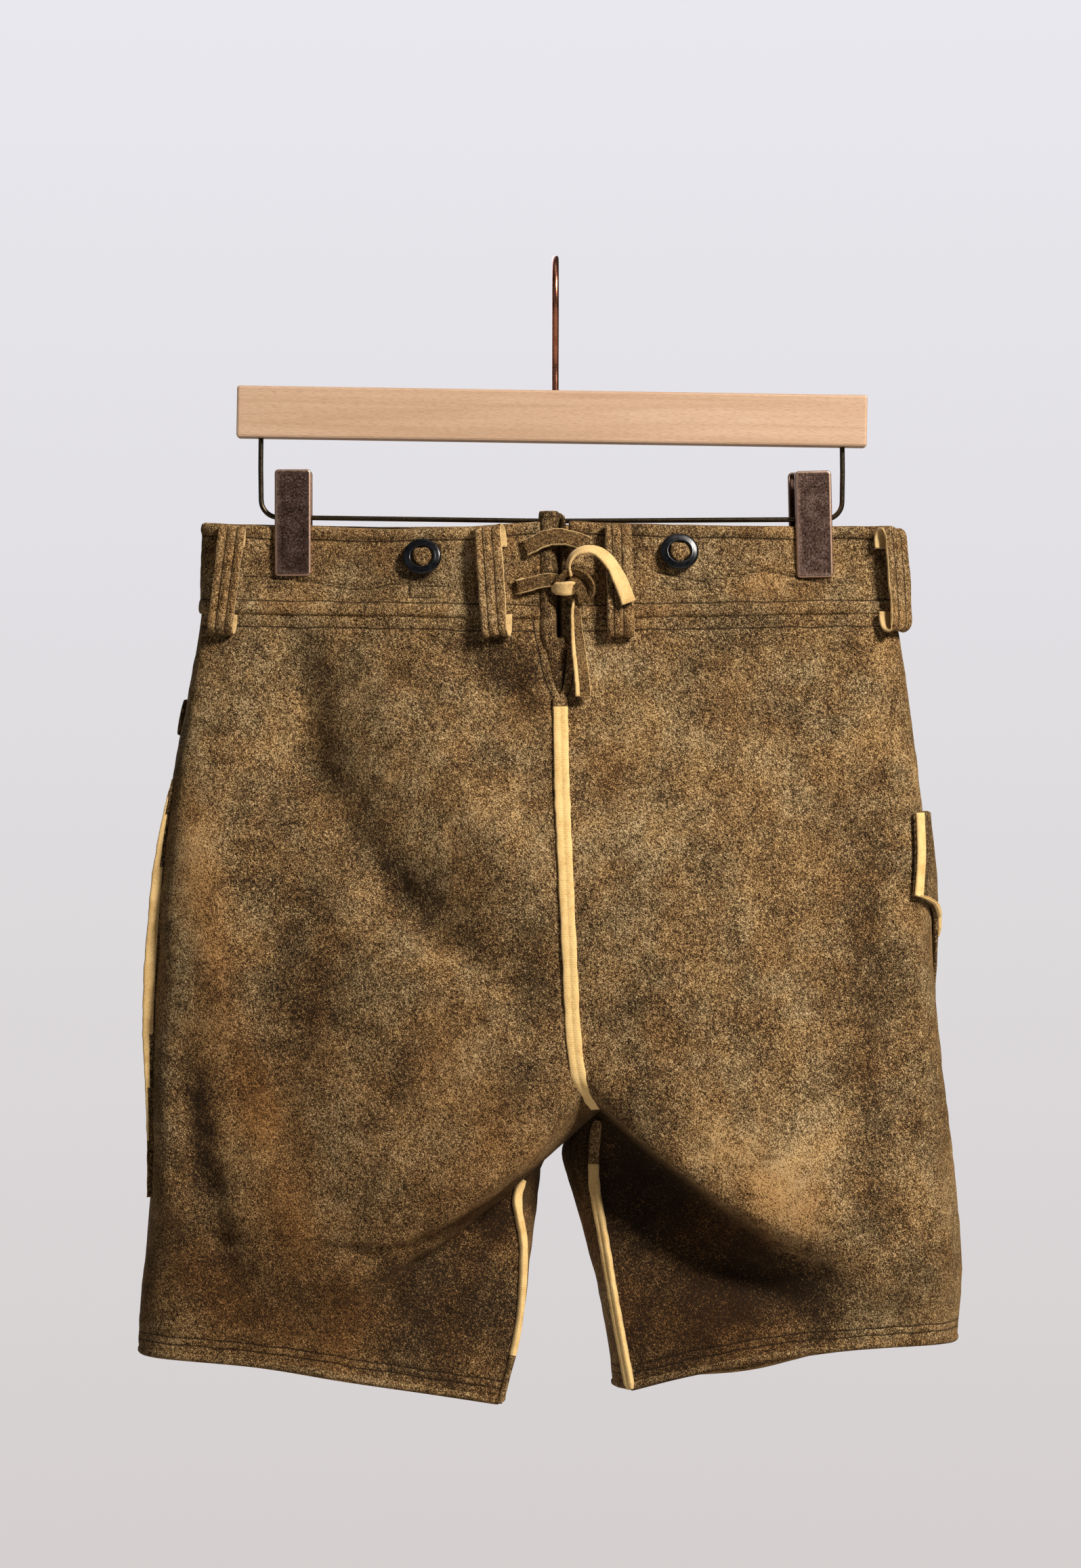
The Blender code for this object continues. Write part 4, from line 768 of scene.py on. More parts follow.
# soil and shade on the leg under the overhang of the seat: first row, stations across, rows it fades
# over, its strength there, and the strength that stays on the rest of the leg
underLip = {left: {"row": 9.55, "reach": 1.9, "fall": 1.6, "dark": 0.2, "leg": 0.19},
            right: {"row": 9.3, "reach": 2.5, "fall": 1.7, "dark": 0.3, "leg": 0.28}}
# wear spread over the lower part: most, height where it starts, height it grows over, x and width it fades at
lowWear = {"most": 0.26, "below": 390, "over": 150, "upTo": 175, "fade": 60}
# mean distance in millimetres between points, down the cloth and round its back and its front
spacing = {"body": {"down": 2.3, "back": 1.9, "front": 3.4},
           "band": {"down": 1.15, "back": 1.8, "front": 3.2}}
# the front's inner thigh lies in shade: first station, last row, rows it fades over, strength
innerShade = {"station": 9.2, "row": 13.5, "over": 2, "dark": 0.45}


def clothHeight(cloth, rows, stations, front):
    x, z = cloth[..., 0], cloth[..., 2]
    height = strokes(x, z, frontCreases if front else creases)
    seed = 11 if front else 7
    height += 0.5 * gentleNoise(cloth, 46, seed) + 0.22 * gentleNoise(cloth, 17, seed + 1)
    height += 0.09 * gentleNoise(cloth, 6, seed + 2)
    edge = np.minimum(stations, abs(shape["side"] - stations) * 1.3)
    edge = np.minimum(edge, shape["last"] - stations)
    fade = np.clip(edge / 0.16, 0, 1)[None, :] * np.clip((rows - 1.98) / 0.25, 0, 1)[:, None]
    if not front:
        fade = fade * np.clip((15.0 - rows) / 0.3, 0.15, 1)[:, None]
    return height * fade


def distanceDown(grid, rowPlaces, zeroRow):
    # distance down each column of a grid, counted from a row
    run = np.cumsum(np.linalg.norm(np.diff(grid, axis=0, prepend=grid[:1]), axis=2), axis=0)
    zero = np.array([np.interp(zeroRow, rowPlaces, run[:, col]) for col in range(grid.shape[1])])
    return run - zero[None, :]


def wholeGrid(rows, stations):
    # both halves and the way their surface faces, alike on both sides of every seam
    halves = {half: surface(half, rows, stations) for half in (left, right)}
    facing = {}
    for half, grid in halves.items():
        down, along = np.gradient(grid, axis=0), np.gradient(grid, axis=1)
        facing[half] = unit(np.cross(down, along) * half)
    upper = np.asarray(rows) <= shape["crotch"] + 1e-6
    closed = upper & (np.asarray(rows) >= shape["ventFoot"])
    for column, joined in ((0, closed), (-1, upper)):
        both = unit(facing[left][:, column] + facing[right][:, column])
        for half in (left, right):
            facing[half][joined, column] = both[joined]
    for half in (left, right):
        both = unit(facing[half][:, 0] + facing[half][:, -1])
        facing[half][~upper, 0] = both[~upper]
        facing[half][~upper, -1] = both[~upper]
    return halves, facing


def placesAlong(half, station, first, last, apart, samples=700):
    # row numbers down a station, evenly apart
    where = np.linspace(first, last, samples)
    return evenPlaces(surface(half, where, [station])[:, 0], where, apart)


def placesAround(row, backApart, frontApart):
    # station numbers round the girth at a row, the side seam among them
    side, where = shape["side"], np.linspace(0, shape["last"], 900)
    girth = surface(left, [row], where)[0]
    back, front = where <= side, where >= side
    return np.unique(np.concatenate([evenPlaces(girth[back], where[back], backApart),
                                     evenPlaces(girth[front], where[front], frontApart), [side]]))


def quarters(stations):
    # half, its name, back or front, and the columns of each quarter of the garment
    seam = int(np.searchsorted(stations, shape["side"]))
    return [(half, word, part, cols) for half, word in ((left, "left"), (right, "right"))
            for part, cols in (("back", slice(0, seam + 1)), ("front", slice(seam, None)))]


def makeBody():
    apart = spacing["body"]
    rows = placesAlong(left, 2.4, 1.93, 15, apart["down"])
    rows = np.unique(np.concatenate([rows, [shape["ventFoot"], shape["crotch"]]]))
    stations = placesAround(6.0, apart["back"], apart["front"])
    halves, facing = wholeGrid(rows, stations)
    for half, word, part, cols in quarters(stations):
        front = part == "front"
        base, out = halves[half][:, cols], facing[half][:, cols]
        height = clothHeight(base, rows, stations[cols], front)
        outer = base + out * height[..., None]
        x, z = outer[..., 0], outer[..., 2]
        wander = 0.35 * gentleNoise(base, 22, 31)
        fromStep = distanceDown(base, rows, 2.0) + wander
        fromHem = -distanceDown(base, rows, 15.0) + wander
        vent = surface(half, np.linspace(0.9, 3.0, 60), [0])[:, 0]
        fromVent = lineDistance(base[..., 0], base[..., 2], vent[:, [0, 2]])[0] + wander
        if front:
            fromVent = fromVent + farAway
            inward = np.clip(stations[cols] - innerShade["station"], 0, 1)[None, :]
            upward = np.clip((innerShade["row"] - rows) / innerShade["over"], 0, 1)[:, None]
            tone = 0.05 * gentleNoise(base, 60, 3) - innerShade["dark"] * inward * upward
        else:
            # painted shade and painted highlights, with some stains, from the listed patches and lines
            tone = patches(x, z, paintedLightAndStainPatches) + strokes(x, z, paintedLightAndStainLines)
            # painted shade, with some soil, on the leg under the seat's overhang
            lip = underLip[half]
            near = np.clip((lip["reach"] - stations[cols]) / 1.2, 0, 1)[None, :]
            below = np.clip((rows - lip["row"]) / 0.14, 0, 1)
            fall = np.exp(-np.clip((rows - shape["crotch"]) / lip["fall"], 0, 9) ** 2)
            shadeAndSoil = below * (lip["dark"] * fall + lip["leg"])
            tone = tone - near * shadeAndSoil[:, None]
        tone = tone + 0.05 * gentleNoise(base, 34, 19)
        low = lowWear["most"] * np.clip((-z - lowWear["below"]) / lowWear["over"], 0, 1)
        low = low * np.clip((lowWear["upTo"] - x) / lowWear["fade"], 0, 1)
        if front:
            worn = 0.25 * gentleNoise(base, 50, 24)
        else:
            worn = strokes(x, z, rubs) + 0.15 * gentleNoise(base, 40, 23)
        rub = np.clip(worn + low, 0, 0.9)
        values = {"fromStep": fromStep, "fromHem": fromHem, "fromVent": fromVent, "tone": tone,
                  "rub": rub}
        piece = makeShell(f"panel_{part}_{word}", outer, outer - out * shape["leather"],
                          [panelSuede, inside], values, [f"{part}_{word}"])
        cloths.append((piece, "panel"))
        if front:
            makeHem(word, halves[half], facing[half])


# the roll along the hem: half its thickness and height, places of its middle, how square it is
hemRoll = {"thick": 2.0, "tall": 2.15, "inward": 1.1, "up": 2.1, "square": 0.8, "around": 16}


def squared(value):
    # a cosine or sine made squarer
    return np.sign(value) * abs(value) ** hemRoll["square"]


def makeHem(word, grid, facing):
    edge = grid[-1, :-1]
    up = unit(grid[-3, :-1] - edge)
    out = facing[-1, :-1]
    uneven = 0.3 * gentleNoise(edge, 24, 41)
    around, points, tone = hemRoll["around"], [], []
    for index in range(len(edge)):
        rise = hemRoll["up"] + 0.2 * uneven[index]
        middle = edge[index] - out[index] * hemRoll["inward"] + up[index] * rise
        for step in range(around):
            turn = 2 * pi * step / around
            across = (hemRoll["thick"] + 0.25 * uneven[index]) * squared(cos(turn))
            points.append(middle + out[index] * across + up[index] * hemRoll["tall"] * squared(sin(turn)))
            tone.append(-0.03 + 0.05 * uneven[index])
    faces = ringFaces(len(edge), around, closed=True)
    piece = makePiece(f"hem_roll_{word}", points, faces, [suede], None,
                      {"tone": tone, "rub": np.full(len(tone), 0.15)}, [f"hem_{word}"])
    hems[word] = piece


cloths, hems = [], {}
makeBody()
print("body panels and hems made")

# the waistband: doubled, stitched near its edge and along its foot, puffed between the rows
# lines of stitching in x and z: the facing's edge, the box and the point; how the cloth puffs by a row
band = {"facingLeft": [(-179, -181), (-169, -180), (-138, -184), (-117, -188), (-104, -188), (-92, -185),
                       (-83, -186), (-62, -186.5)],
        "box": [(-83, -186), (-83, -193), (-62, -193), (-62, -186.5)],
        "facingRight": [(56, -178), (82, -183.5), (100, -181), (118, -177), (134, -180), (150, -184),
                        (176, -184)],
        "point": [(61, -183), (67, -188.5), (83, -188.5), (86, -186), (83, -183)],
        "puff": 0.9, "edgePuff": 0.8, "edgeMiddle": 3.0, "edgeWide": 2.6, "stitchRise": 0.45,
        "stitchRiseWide": 4, "stitchSink": 1.15, "stitchSinkWide": 1.4}


def makeBand():
    apart = spacing["band"]
    rows = placesAlong(left, 2.4, 0.0, 2.0, apart["down"])
    stations = placesAround(1.0, apart["back"], apart["front"])
    halves, facing = wholeGrid(rows, stations)
    for half, word, part, cols in quarters(stations):
        front = part == "front"
        base, out = halves[half][:, cols], facing[half][:, cols]
        wander = 0.3 * gentleNoise(base, 26, 51)
        fromTop = distanceDown(base, rows, 0.0) + wander
        fromStep = distanceDown(base, rows, 2.0) + wander
        x, z = base[..., 0], base[..., 2]
        below = fromStep / stitchRows["bandFoot"]
        puff = band["puff"] * np.sqrt(np.clip(below * (1 - below) * 4, 0, 1))
        puff += band["edgePuff"] * np.exp(-((fromTop - band["edgeMiddle"]) / band["edgeWide"]) ** 2)
        height = puff + 0.35 * gentleNoise(base, 30, 52) + 0.2 * gentleNoise(base, 11, 53)
        away = np.full(x.shape, farAway)
        if not front:
            for line in ("facingLeft", "box") if half == left else ("facingRight", "point"):
                away = np.minimum(away, lineDistance(x, z, band[line])[0])
        height += band["stitchRise"] * np.exp(-(away / band["stitchRiseWide"]) ** 2)
        height -= band["stitchSink"] * np.exp(-(away / band["stitchSinkWide"]) ** 2)
        tone = 0.05 * gentleNoise(base, 30, 54) + 0.03
        rub = np.clip(0.12 + 0.25 * gentleNoise(base, 36, 55), 0, 0.5)
        values = {"fromTop": fromTop, "fromStep": fromStep, "facing": away, "tone": tone, "rub": rub}
        outer = base + out * (shape["bandProud"] + height)[..., None]
        piece = makeShell(f"band_{part}_{word}", outer, base - out * shape["bandBehind"],
                          [bandSuede, inside], values, [f"waistband_{part}_{word}"], bulge=0.25)
        cloths.append((piece, "band"))


makeBand()
print("waistband made")

# the gusset behind the open vent: a soft roll on the left, a flat strip on the right, a shield below
gusset = {"top": -144, "foot": -247, "rollMiddle": -4.6, "rollHalf": 5.5, "slotTop": -193, "slotFoot": -217,
          "halfWide": 11.6, "thick": 1.8, "rows": 96, "cols": 45}


def makeGusset():
    rows, cols = gusset["rows"], gusset["cols"]
    outer, tone = np.zeros((rows, cols, 3)), np.zeros((rows, cols))
    for row, v in enumerate(np.linspace(0, 1, rows)):
        for col, u in enumerate(np.linspace(-1, 1, cols)):
            x = u * gusset["halfWide"]      # the strip's top edge steps down towards both sides
            top = gusset["top"] - 1.0 * np.clip((x - 1.2) / 1, 0, 1) - 1.5 * np.clip((x - 3.4) / 1.4, 0, 1)
            top = top - 13 * np.clip((x - 5.4) / 1.2, 0, 1) - 13 * np.clip((-x - 9.4) / 0.9, 0, 1)
            z = top + (gusset["foot"] - top) * v
            # where the seam and the edge of the cloth run at this height
            seamX = np.interp(-z, [150, 205, 248.5], [-0.4, -0.4, 2.4])
            edgeY = np.interp(-z, [144, 150, 180, 205, 248.5], [-13.4, -14, -18, -22, -31])
            # each form is 0 to 1: the roll, the strip, the dark slot between them, its deep foot
            fadeOut = np.clip((z + 224) / 9, 0, 1) ** 0.6 * np.clip((gusset["top"] + 4 - z) / 4, 0.45, 1)
            wider = 1.1 * np.clip((z + 156) / 10, 0, 1)
            half = gusset["rollHalf"] + wider
            roll = np.sqrt(np.clip(1 - ((x - gusset["rollMiddle"] - wider) / half) ** 2, 0, 1)) * fadeOut
            strip = np.exp(-((x - 5.9) / 3.4) ** 4) * np.clip((z + 222) / 8, 0, 1)
            slot = np.exp(-((x - 1.9) / 1.2) ** 2) * np.clip((z - gusset["slotFoot"]) / 3, 0, 1)
            deep = slot * np.clip((gusset["slotTop"] - z) / 8, 0, 1)
            # the hollow end of the roll, the shield below it and the hollow beside the shield
            bowl = np.exp(-((z + 219) / 3.2) ** 2) * np.exp(-((x - 0.8) / 6.6) ** 4)
            middle, reach = np.interp(-z, [221, 246], [0.4, -1.6]), np.interp(-z, [220, 247], [7.6, 2.4])
            shield = np.exp(-((x - middle) / reach) ** 6) * np.clip((-z - 215) / 6, 0, 1)
            hollow = np.exp(-((x - middle - reach - 1.2) / 1.3) ** 2) * np.clip((-z - 219) / 6, 0, 1)
            depth = 4.6 - 7.6 * np.maximum(roll, 0.8 * bowl) - 2.2 * strip + 2.0 * slot + 4.0 * deep
            depth += 2.0 * hollow - 3.4 * shield * (1 - bowl)
            outer[row, col] = (x + (seamX + 0.4) * np.clip((-z - 205) / 40, 0, 1), edgeY + depth, z)
            # painted shade: the slot, its deep foot and the hollow beside the shield are darkened; the whole
            # gusset and its roll are a little darker, and the shield is darker towards its foot
            tone[row, col] = -0.08 - 0.3 * slot - 0.5 * deep - 0.06 * roll - 0.5 * hollow
            tone[row, col] -= (0.12 + 0.01 * np.clip(-z - 222, 0, 25)) * shield
    outer += np.array([0, 0.25, 0]) * gentleNoise(outer, 12, 61)[..., None]
    values = {"tone": tone, "rub": np.zeros_like(tone)}
    piece = makeShell("vent_gusset", outer, outer + np.array([0, gusset["thick"], 0]), [suede, inside],
                      values, ["gusset_sheet", "gusset_pleat"])
    cloths.append((piece, "gusset"))


makeGusset()


# welts: pale strips rolled double over the seams, ribbed across
# half its profile, across and up; half, name, first row, widths and brown ends of each leg's welt
weltSide = [(0.05, 0.88), (0.2, 0.98), (0.5, 1.0), (0.85, 0.94), (0.97, 0.78), (1.02, 0.3), (1, -0.35)]
weltProfile = [(-a, b) for a, b in reversed(weltSide)] + weltSide
welt = {"tall": 2.2, "backWide": (8.4, 8.4), "backBrown": 6.5, "sideRise": 1.2,
        "legs": ((left, "left", 11.8, (5.2, 2.6), 0, 28), (right, "right", 10.25, (6.0, 6.0), 26, 0))}


def layWelt(name, seam, outward, sideways, wide, replaced, brownFrom=0.0, brownTo=0.0, seed=70):
    seam = np.asarray(seam, float)
    widths = np.interp(np.arange(len(seam)), [0, len(seam) - 1], wide)
    run = lengths(seam)
    points = []
    sideways = squareTo(seam, sideways)[0]
    for index in range(len(seam)):
        ragged = gentleNoise(seam[index:index + 1], 9, seed)[0] * 0.18
        drawn = 0.62 + 0.38 * min(1, min(run[index], run[-1] - run[index]) / 3.5)
        for a, b in weltProfile:
            reach = (widths[index] / 2 + ragged) * drawn
            rise = welt["tall"] * drawn * b
            points.append(seam[index] + sideways[index] * reach * a + outward[index] * rise)
    around = len(weltProfile)
    faces = ringFaces(len(seam), around)
    kinds = []
    for face in range(len(faces)):
        ring = min(face // around, len(seam) - 2)
        brown = run[ring] < brownFrom or run[ring] > run[-1] - brownTo
        kinds.append(1 if brown else 0)
    return makePiece(name, points, faces, [paleWelt, suede], kinds,
                     plain(points, 0.04, 0.2), [replaced])


def seamLine(half, station, first, last, apart=0.9):
    places = placesAlong(half, station, first, last, apart, 600)
    return places, surface(half, places, [station])[:, 0]


def makeWelts():
    places, seam = seamLine(left, 0, 3.0, 9.75)
    step = 0.03
    leftSide = surface(left, places, [step])[:, 0] - seam
    rightSide = surface(right, places, [step])[:, 0] - surface(right, places, [0])[:, 0]
    down = unit(np.gradient(seam, axis=0))
    outLeft = unit(np.cross(down, leftSide) * left)
    outRight = unit(np.cross(down, rightSide) * right)
    out = unit(outLeft + outRight)
    layWelt("welt_back", seam, out, np.cross(down, out), welt["backWide"], "welt_centre_back",
            brownFrom=welt["backBrown"])
    for half, word, first, wide, brownFrom, brownTo in welt["legs"]:
        places, seam = seamLine(half, 0, first, 14.99)
        backSide = surface(half, places, [step])[:, 0] - seam
        frontSide = surface(half, places, [11 - step])[:, 0] - seam
        down = unit(np.gradient(seam, axis=0))
        out = unit(unit(np.cross(down, backSide) * half) + unit(np.cross(down, -frontSide) * half))
        layWelt(f"welt_leg_{word}", seam + out * 0.3, out, np.cross(down, out), wide,
                f"welt_inseam_{word}", brownFrom, brownTo, seed=72)
    # the left side seam's strip stands out beyond the outline, widest half way down
    places, seam = seamLine(left, 4.45, 3.98, 8.98, 1.2)
    edge = surface(left, places, [shape["side"]])[:, 0, 0] + welt["sideRise"]
    reach = np.interp(-seam[:, 2], [296, 322, 350, 372, 405, 440, 465, 495, 530],
                      [0.6, 3.4, 5.3, 5.6, 6.2, 5.2, 3.2, 1.9, 1.4])
    reach += 0.16 * gentleNoise(seam, 7, 74)
    rim = edge - reach
    points, across = [], (0.0, 0.25, 0.5, 0.75, 0.92, 1.0, 1.0, 0.92, 0.6, 0.0)
    lifts = (1.1, 1.15, 1.2, 1.3, 1.2, 0.6, -0.6, -1.2, -1.2, -1.2)
    for index in range(len(seam)):
        for a, b in zip(across, lifts):
            far = seam[index, 0] + 1.5 + (rim[index] - seam[index, 0] - 1.5) * a
            points.append((far, seam[index, 1] - b - 1.5 * a, seam[index, 2]))
    faces = ringFaces(len(seam), len(across))
    kinds = []
    for face in range(len(faces)):
        ring, place = min(face // len(across), len(seam) - 2), face % len(across)
        height = seam[ring, 2]
        start = np.interp(-height, [296, 316, 345, 440, 470, 530], [4, 2, 1, 1, 2, 4])
        kinds.append(0 if start <= place < 9 else 1)
    makePiece("welt_side", points, faces, [fleshSide, suede], kinds,
              plain(points, -0.12), ["welt_side_left"])


makeWelts()
print("gusset and welts made")

# belt loops: straps standing off the band, stitched twice along, turned in at both ends
# half, top and foot, front or back, places, shift of the stitching, twist, drift of the turned-in ends
loops = [("belt_loop_left", left, (-184.5, -153), (-190, -213), False, None, 0.3, 0, 0.8),
         ("belt_loop_centre_left", left, (-38, -154.5), (-34, -214.5), False, None, -0.6, -8, 2.6),
         ("belt_loop_centre_right", right, (35, -153), (36.5, -215), False, None, -1.2, -6, 0.6),
         ("belt_loop_right", right, None, None, False, (0.1, 2.25, 4.2, 4.12), 0, 0, -3.0),
         ("belt_loop_front_left", left, (-128, -153), (-129, -213), True, None, 0, 0, 0),
         ("belt_loop_front_right", right, (122, -153), (123, -213), True, None, 0, 0, 0)]
paleRight = ("belt_loop_centre_left",)
strap = {"halfWide": 7.5, "halfThick": 1.1, "puff": 0.55, "sink": 0.3, "round": 1.3}
# share of the way down, how far it stands off, share of the drift
loopRoute = ((0.17, 1.9, 1), (0.1, 1.8, 1), (0.02, 2.8, 0.8), (-0.005, 5.2, 0.35), (0.03, 7.9, 0),
             (0.2, 8.8, 0), (0.5, 9.2, 0), (0.8, 8.8, 0), (0.97, 7.6, 0), (1.005, 5.0, 0.35),
             (0.98, 2.8, 0.8), (0.9, 1.8, 1), (0.82, 1.9, 1))


def makeLoop(name, half, top, bottom, front, places, shift, turn, drift):
    if places:
        upper, upperOut = facingAt(half, places[0], places[2])
        lower, lowerOut = facingAt(half, places[1], places[3])
    else:
        upper, upperOut = spot(half, *top, front)
        lower, lowerOut = spot(half, *bottom, front)
    route, across = [], []
    for part, stand, adrift in loopRoute:
        out = unit(upperOut * (1 - part) + lowerOut * part)
        side = np.cross(out, unit(lower - upper))
        aside = side * drift * adrift * (1 if side[0] > 0 else -1)
        route.append(upper * (1 - part) + lower * part + out * stand + aside)
        twist = radians(turn)
        across.append(side * cos(twist) + out * sin(twist))
    where = evenly(np.array(route), 0.9)
    line = smoothLine(route, where)
    sideways, upward = squareTo(line, unit(smoothLine(np.asarray(across) * 10, where)))
    if np.dot(upward[len(line) // 2], upperOut) < 0:
        upward = -upward
    section = [(-1, -0.6), (-0.99, 0.35), (-0.93, 0.9)] + [(a, 1.0) for a in np.linspace(-0.82, 0.82, 19)] + \
              [(0.93, 0.9), (0.99, 0.35), (1, -0.6), (0.92, -1), (0.4, -1), (-0.4, -1), (-0.92, -1)]
    points, acrossValues, tone = [], [], []
    for index in range(len(line)):
        ragged = 0.25 * gentleNoise(line[index:index + 1], 14, 81)[0]
        for a, b in section:
            reach = a * (strap["halfWide"] + ragged)
            puff = 0.0
            if b > 0.8:
                ripple = abs(cos(pi * (reach - shift) / (2 * stitchRows["strap"])))
                puff = strap["puff"] * ripple - strap["sink"]
                puff -= strap["round"] * max(0, abs(a) - 0.72) ** 1.5
            rise = strap["halfThick"] * b + puff
            points.append(line[index] + sideways[index] * reach + upward[index] * rise)
            acrossValues.append(reach - shift if b > 0.5 else farAway)
            tone.append(0.03 + (0.04 if abs(a) > 0.85 else 0))
    around = len(section)
    faces = ringFaces(len(line), around)
    kinds = []
    for face in range(len(faces)):
        spotOf = face % around
        paleEdge = spotOf < (2 if places else 1) or spotOf >= (22 if name in paleRight else 23)
        kinds.append(1 if paleEdge or face >= len(faces) - 2 else 0)
    piece = makePiece(f"{name}_strap", points, faces, [strapSuede, cutEdge], kinds,
                      {"across": acrossValues, "tone": tone, "rub": np.full(len(tone), 0.25)}, [name])
    cloths.append((piece, "loop"))


for item in loops:
    makeLoop(*item)
print("belt loops made")


# brace buttons: turned horn rings held by a suede tab through the middle
button = {"radius": 8.2, "stand": 4.4, "steps": 72, "squash": (1.03, 0.97), "thick": 0.9, "tilt": -1.024,
          # inwards or outwards of the ring's middle, and up
          "section": [(-2.3, 0.0), (-2.1, -1.1), (-1.4, -1.75), (0, -1.9), (1.6, -1.75), (2.3, -1.2),
                      (2.55, -0.3), (2.4, 0.5), (1.9, 1.1), (1.1, 1.4), (0.2, 1.55), (-0.6, 1.8),
                      (-1.2, 2.1), (-1.75, 1.9), (-2.2, 1.0)],
          # radius and height of the tab
          "tab": [(4.4, 0.0), (4.9, 1.0), (5.7, 3.0), (5.5, 4.4), (4.6, 5.3), (3.1, 5.8), (1.4, 6.0),
                  (0.3, 6.05)]}


def makeButton(name, half, x, z, lift, front=False):
    place, out = spot(half, x, z, front)
    pose = Vector(out).to_track_quat("Z", "Y").to_matrix()
    side, up = np.array(pose.col[0]), np.array(pose.col[1])
    centre = place + out * (lift + button["stand"])
    steps, section = button["steps"], button["section"]
    points = []
    for step in range(steps):
        angle = 2 * pi * step / steps
        radial = side * cos(angle) * button["squash"][0] + up * sin(angle) * button["squash"][1]
        tilt = button["tilt"] * sin(angle)
        points += [centre + radial * (button["radius"] + a) + out * (b * button["thick"] + tilt)
                   for a, b in section]
    makePiece(f"{name}_horn", points, ringFaces(steps, len(section), closed=True), [blackHorn],
              None, None, [f"{name}_ring"])
    points = []
    for radius, height in button["tab"]:
        for step in range(40):
            angle = 2 * pi * step / 40
            ragged = radius * (1 + 0.07 * sin(3 * angle + x) + 0.05 * sin(5 * angle + 2 + x))
            radial = side * cos(angle) + up * sin(angle)
            points.append(place + out * (lift + 0.4 + height) + radial * ragged)
    makePiece(f"{name}_plug", points, ringFaces(len(button["tab"]), 40), [suede], None,
              plain(points, 0.06, 0.2), [f"{name}_tab"])


proud = shape["bandProud"]
for name, half, x, z, lift, front in (
        ("brace_button_back_left", left, -75.3, -169.9, proud, False),
        ("brace_button_back_right", right, 69.9, -167.0, proud, False),
        ("brace_button_front_left", left, -102, -168, proud + 1.2, True),
        ("brace_button_front_right", right, 98, -168, proud + 1.2, True),
        ("flap_button_left", left, -62, -172, proud + 4.1, True),
        ("flap_button_right", right, 62, -172, proud + 4.1, True)):
    makeButton(name, half, x, z, lift, front)
print("buttons made")


# pieces lying on the panels
def smoothGrid(coarse, rows, cols):
    down = np.stack([smoothLine(coarse[:, c], rows) for c in range(coarse.shape[1])], axis=1)
    return np.stack([smoothLine(line, cols) for line in down])


# rows, and the station where the pocket's edge runs at each; heights off the cloth
pocket = {"rows": [4.34, 4.7, 5.19, 5.29, 5.44, 5.64, 6.2, 7.0, 7.6],
          "starts": [4.03, 4.0, 3.92, 4.42, 4.84, 5.0, 5.4, 5.5, 5.6], "end": 6.3, "weltTo": 5.66,
          "proud": 3.5, "swell": 1.2, "behind": 1.3,
          "welt": [(0.0, 0.1), (-0.2, 1.0), (0.3, 1.7), (1.2, 2.2), (2.1, 2.0), (2.9, 1.4), (3.7, 2.0),
                   (4.6, 2.2), (5.5, 1.6), (5.8, 0.8), (5.6, 0.1)]}
tab = {"rows": (3.12, 3.5), "stations": (5.02, 5.6), "proud": 1.8, "swell": 1.0, "halfSwell": 0.2,
       "behind": 0.4}
flap = {"top": -157, "foot": -322, "reach": 80, "taper": 18, "wide": 145, "proud": 0.9}


def makePocket():
    coarseRows, end = pocket["rows"], pocket["end"]
    rows = np.unique(np.concatenate([np.linspace(coarseRows[0], coarseRows[-1], 80),
                                     np.linspace(5.1, 5.7, 25), coarseRows]))
    begins = np.interp(rows, coarseRows, pocket["starts"])
    outer, inner, edge = [], [], []
    for row, start in zip(rows, begins):
        outerLine, innerLine = [], []
        for station in np.linspace(start, end, 26):
            place, out = facingAt(right, row, station)
            swell = pocket["swell"] * sin(pi * (station - start) / (end - start))
            outerLine.append(place + out * (pocket["proud"] + swell))
            innerLine.append(place + out * pocket["behind"])
        outer.append(outerLine)
        inner.append(innerLine)
        if row <= pocket["weltTo"]:
            edge.append((outerLine[0], outerLine[1], facingAt(right, row, start)[1]))
    outer, inner = np.array(outer), np.array(inner)
    noise = 0.25 * gentleNoise(outer, 18, 91)[..., None]
    outward = unit(outer - inner)
    values = {"tone": -0.14 + 0.04 * gentleNoise(outer, 20, 92), "rub": np.zeros(outer.shape[:2])}
    piece = makeShell("side_pocket", outer + outward * noise, inner, [suede, inside], values,
                      ["knife_pocket"])
    cloths.append((piece, "pocket"))
    points = []
    for index, (point, beside, out) in enumerate(edge):
        across = unit(beside - point)
        drawn = min(1, 0.35 + 0.65 * (len(edge) - 1 - index) / 7)      # it narrows into its foot
        points += [point + across * a * drawn + out * b * drawn for a, b in pocket["welt"]]
    makePiece("side_pocket_welt", points, ringFaces(len(edge), len(pocket["welt"])), [paleWelt],
              None, None, ["knife_pocket_welt"])


def makeTab():
    outer, inner = [], []
    middle = sum(tab["rows"]) / 2
    for row in np.linspace(*tab["rows"], 18):
        outerLine, innerLine = [], []
        for station in np.linspace(*tab["stations"], 14):
            place, out = facingAt(left, row, station)
            swell = tab["swell"] * np.sqrt(max(0, 1 - ((row - middle) / tab["halfSwell"]) ** 2))
            outerLine.append(place + out * (tab["proud"] + swell))
            innerLine.append(place + out * tab["behind"])
        outer.append(outerLine)
        inner.append(innerLine)
    outer, inner = np.array(outer), np.array(inner)
    values = {"tone": np.full(outer.shape[:2], -0.1), "rub": np.zeros(outer.shape[:2])}
    piece = makeShell("side_tab_piece", outer, inner, [suede, inside], values, ["side_tab"])
    cloths.append((piece, "tab"))


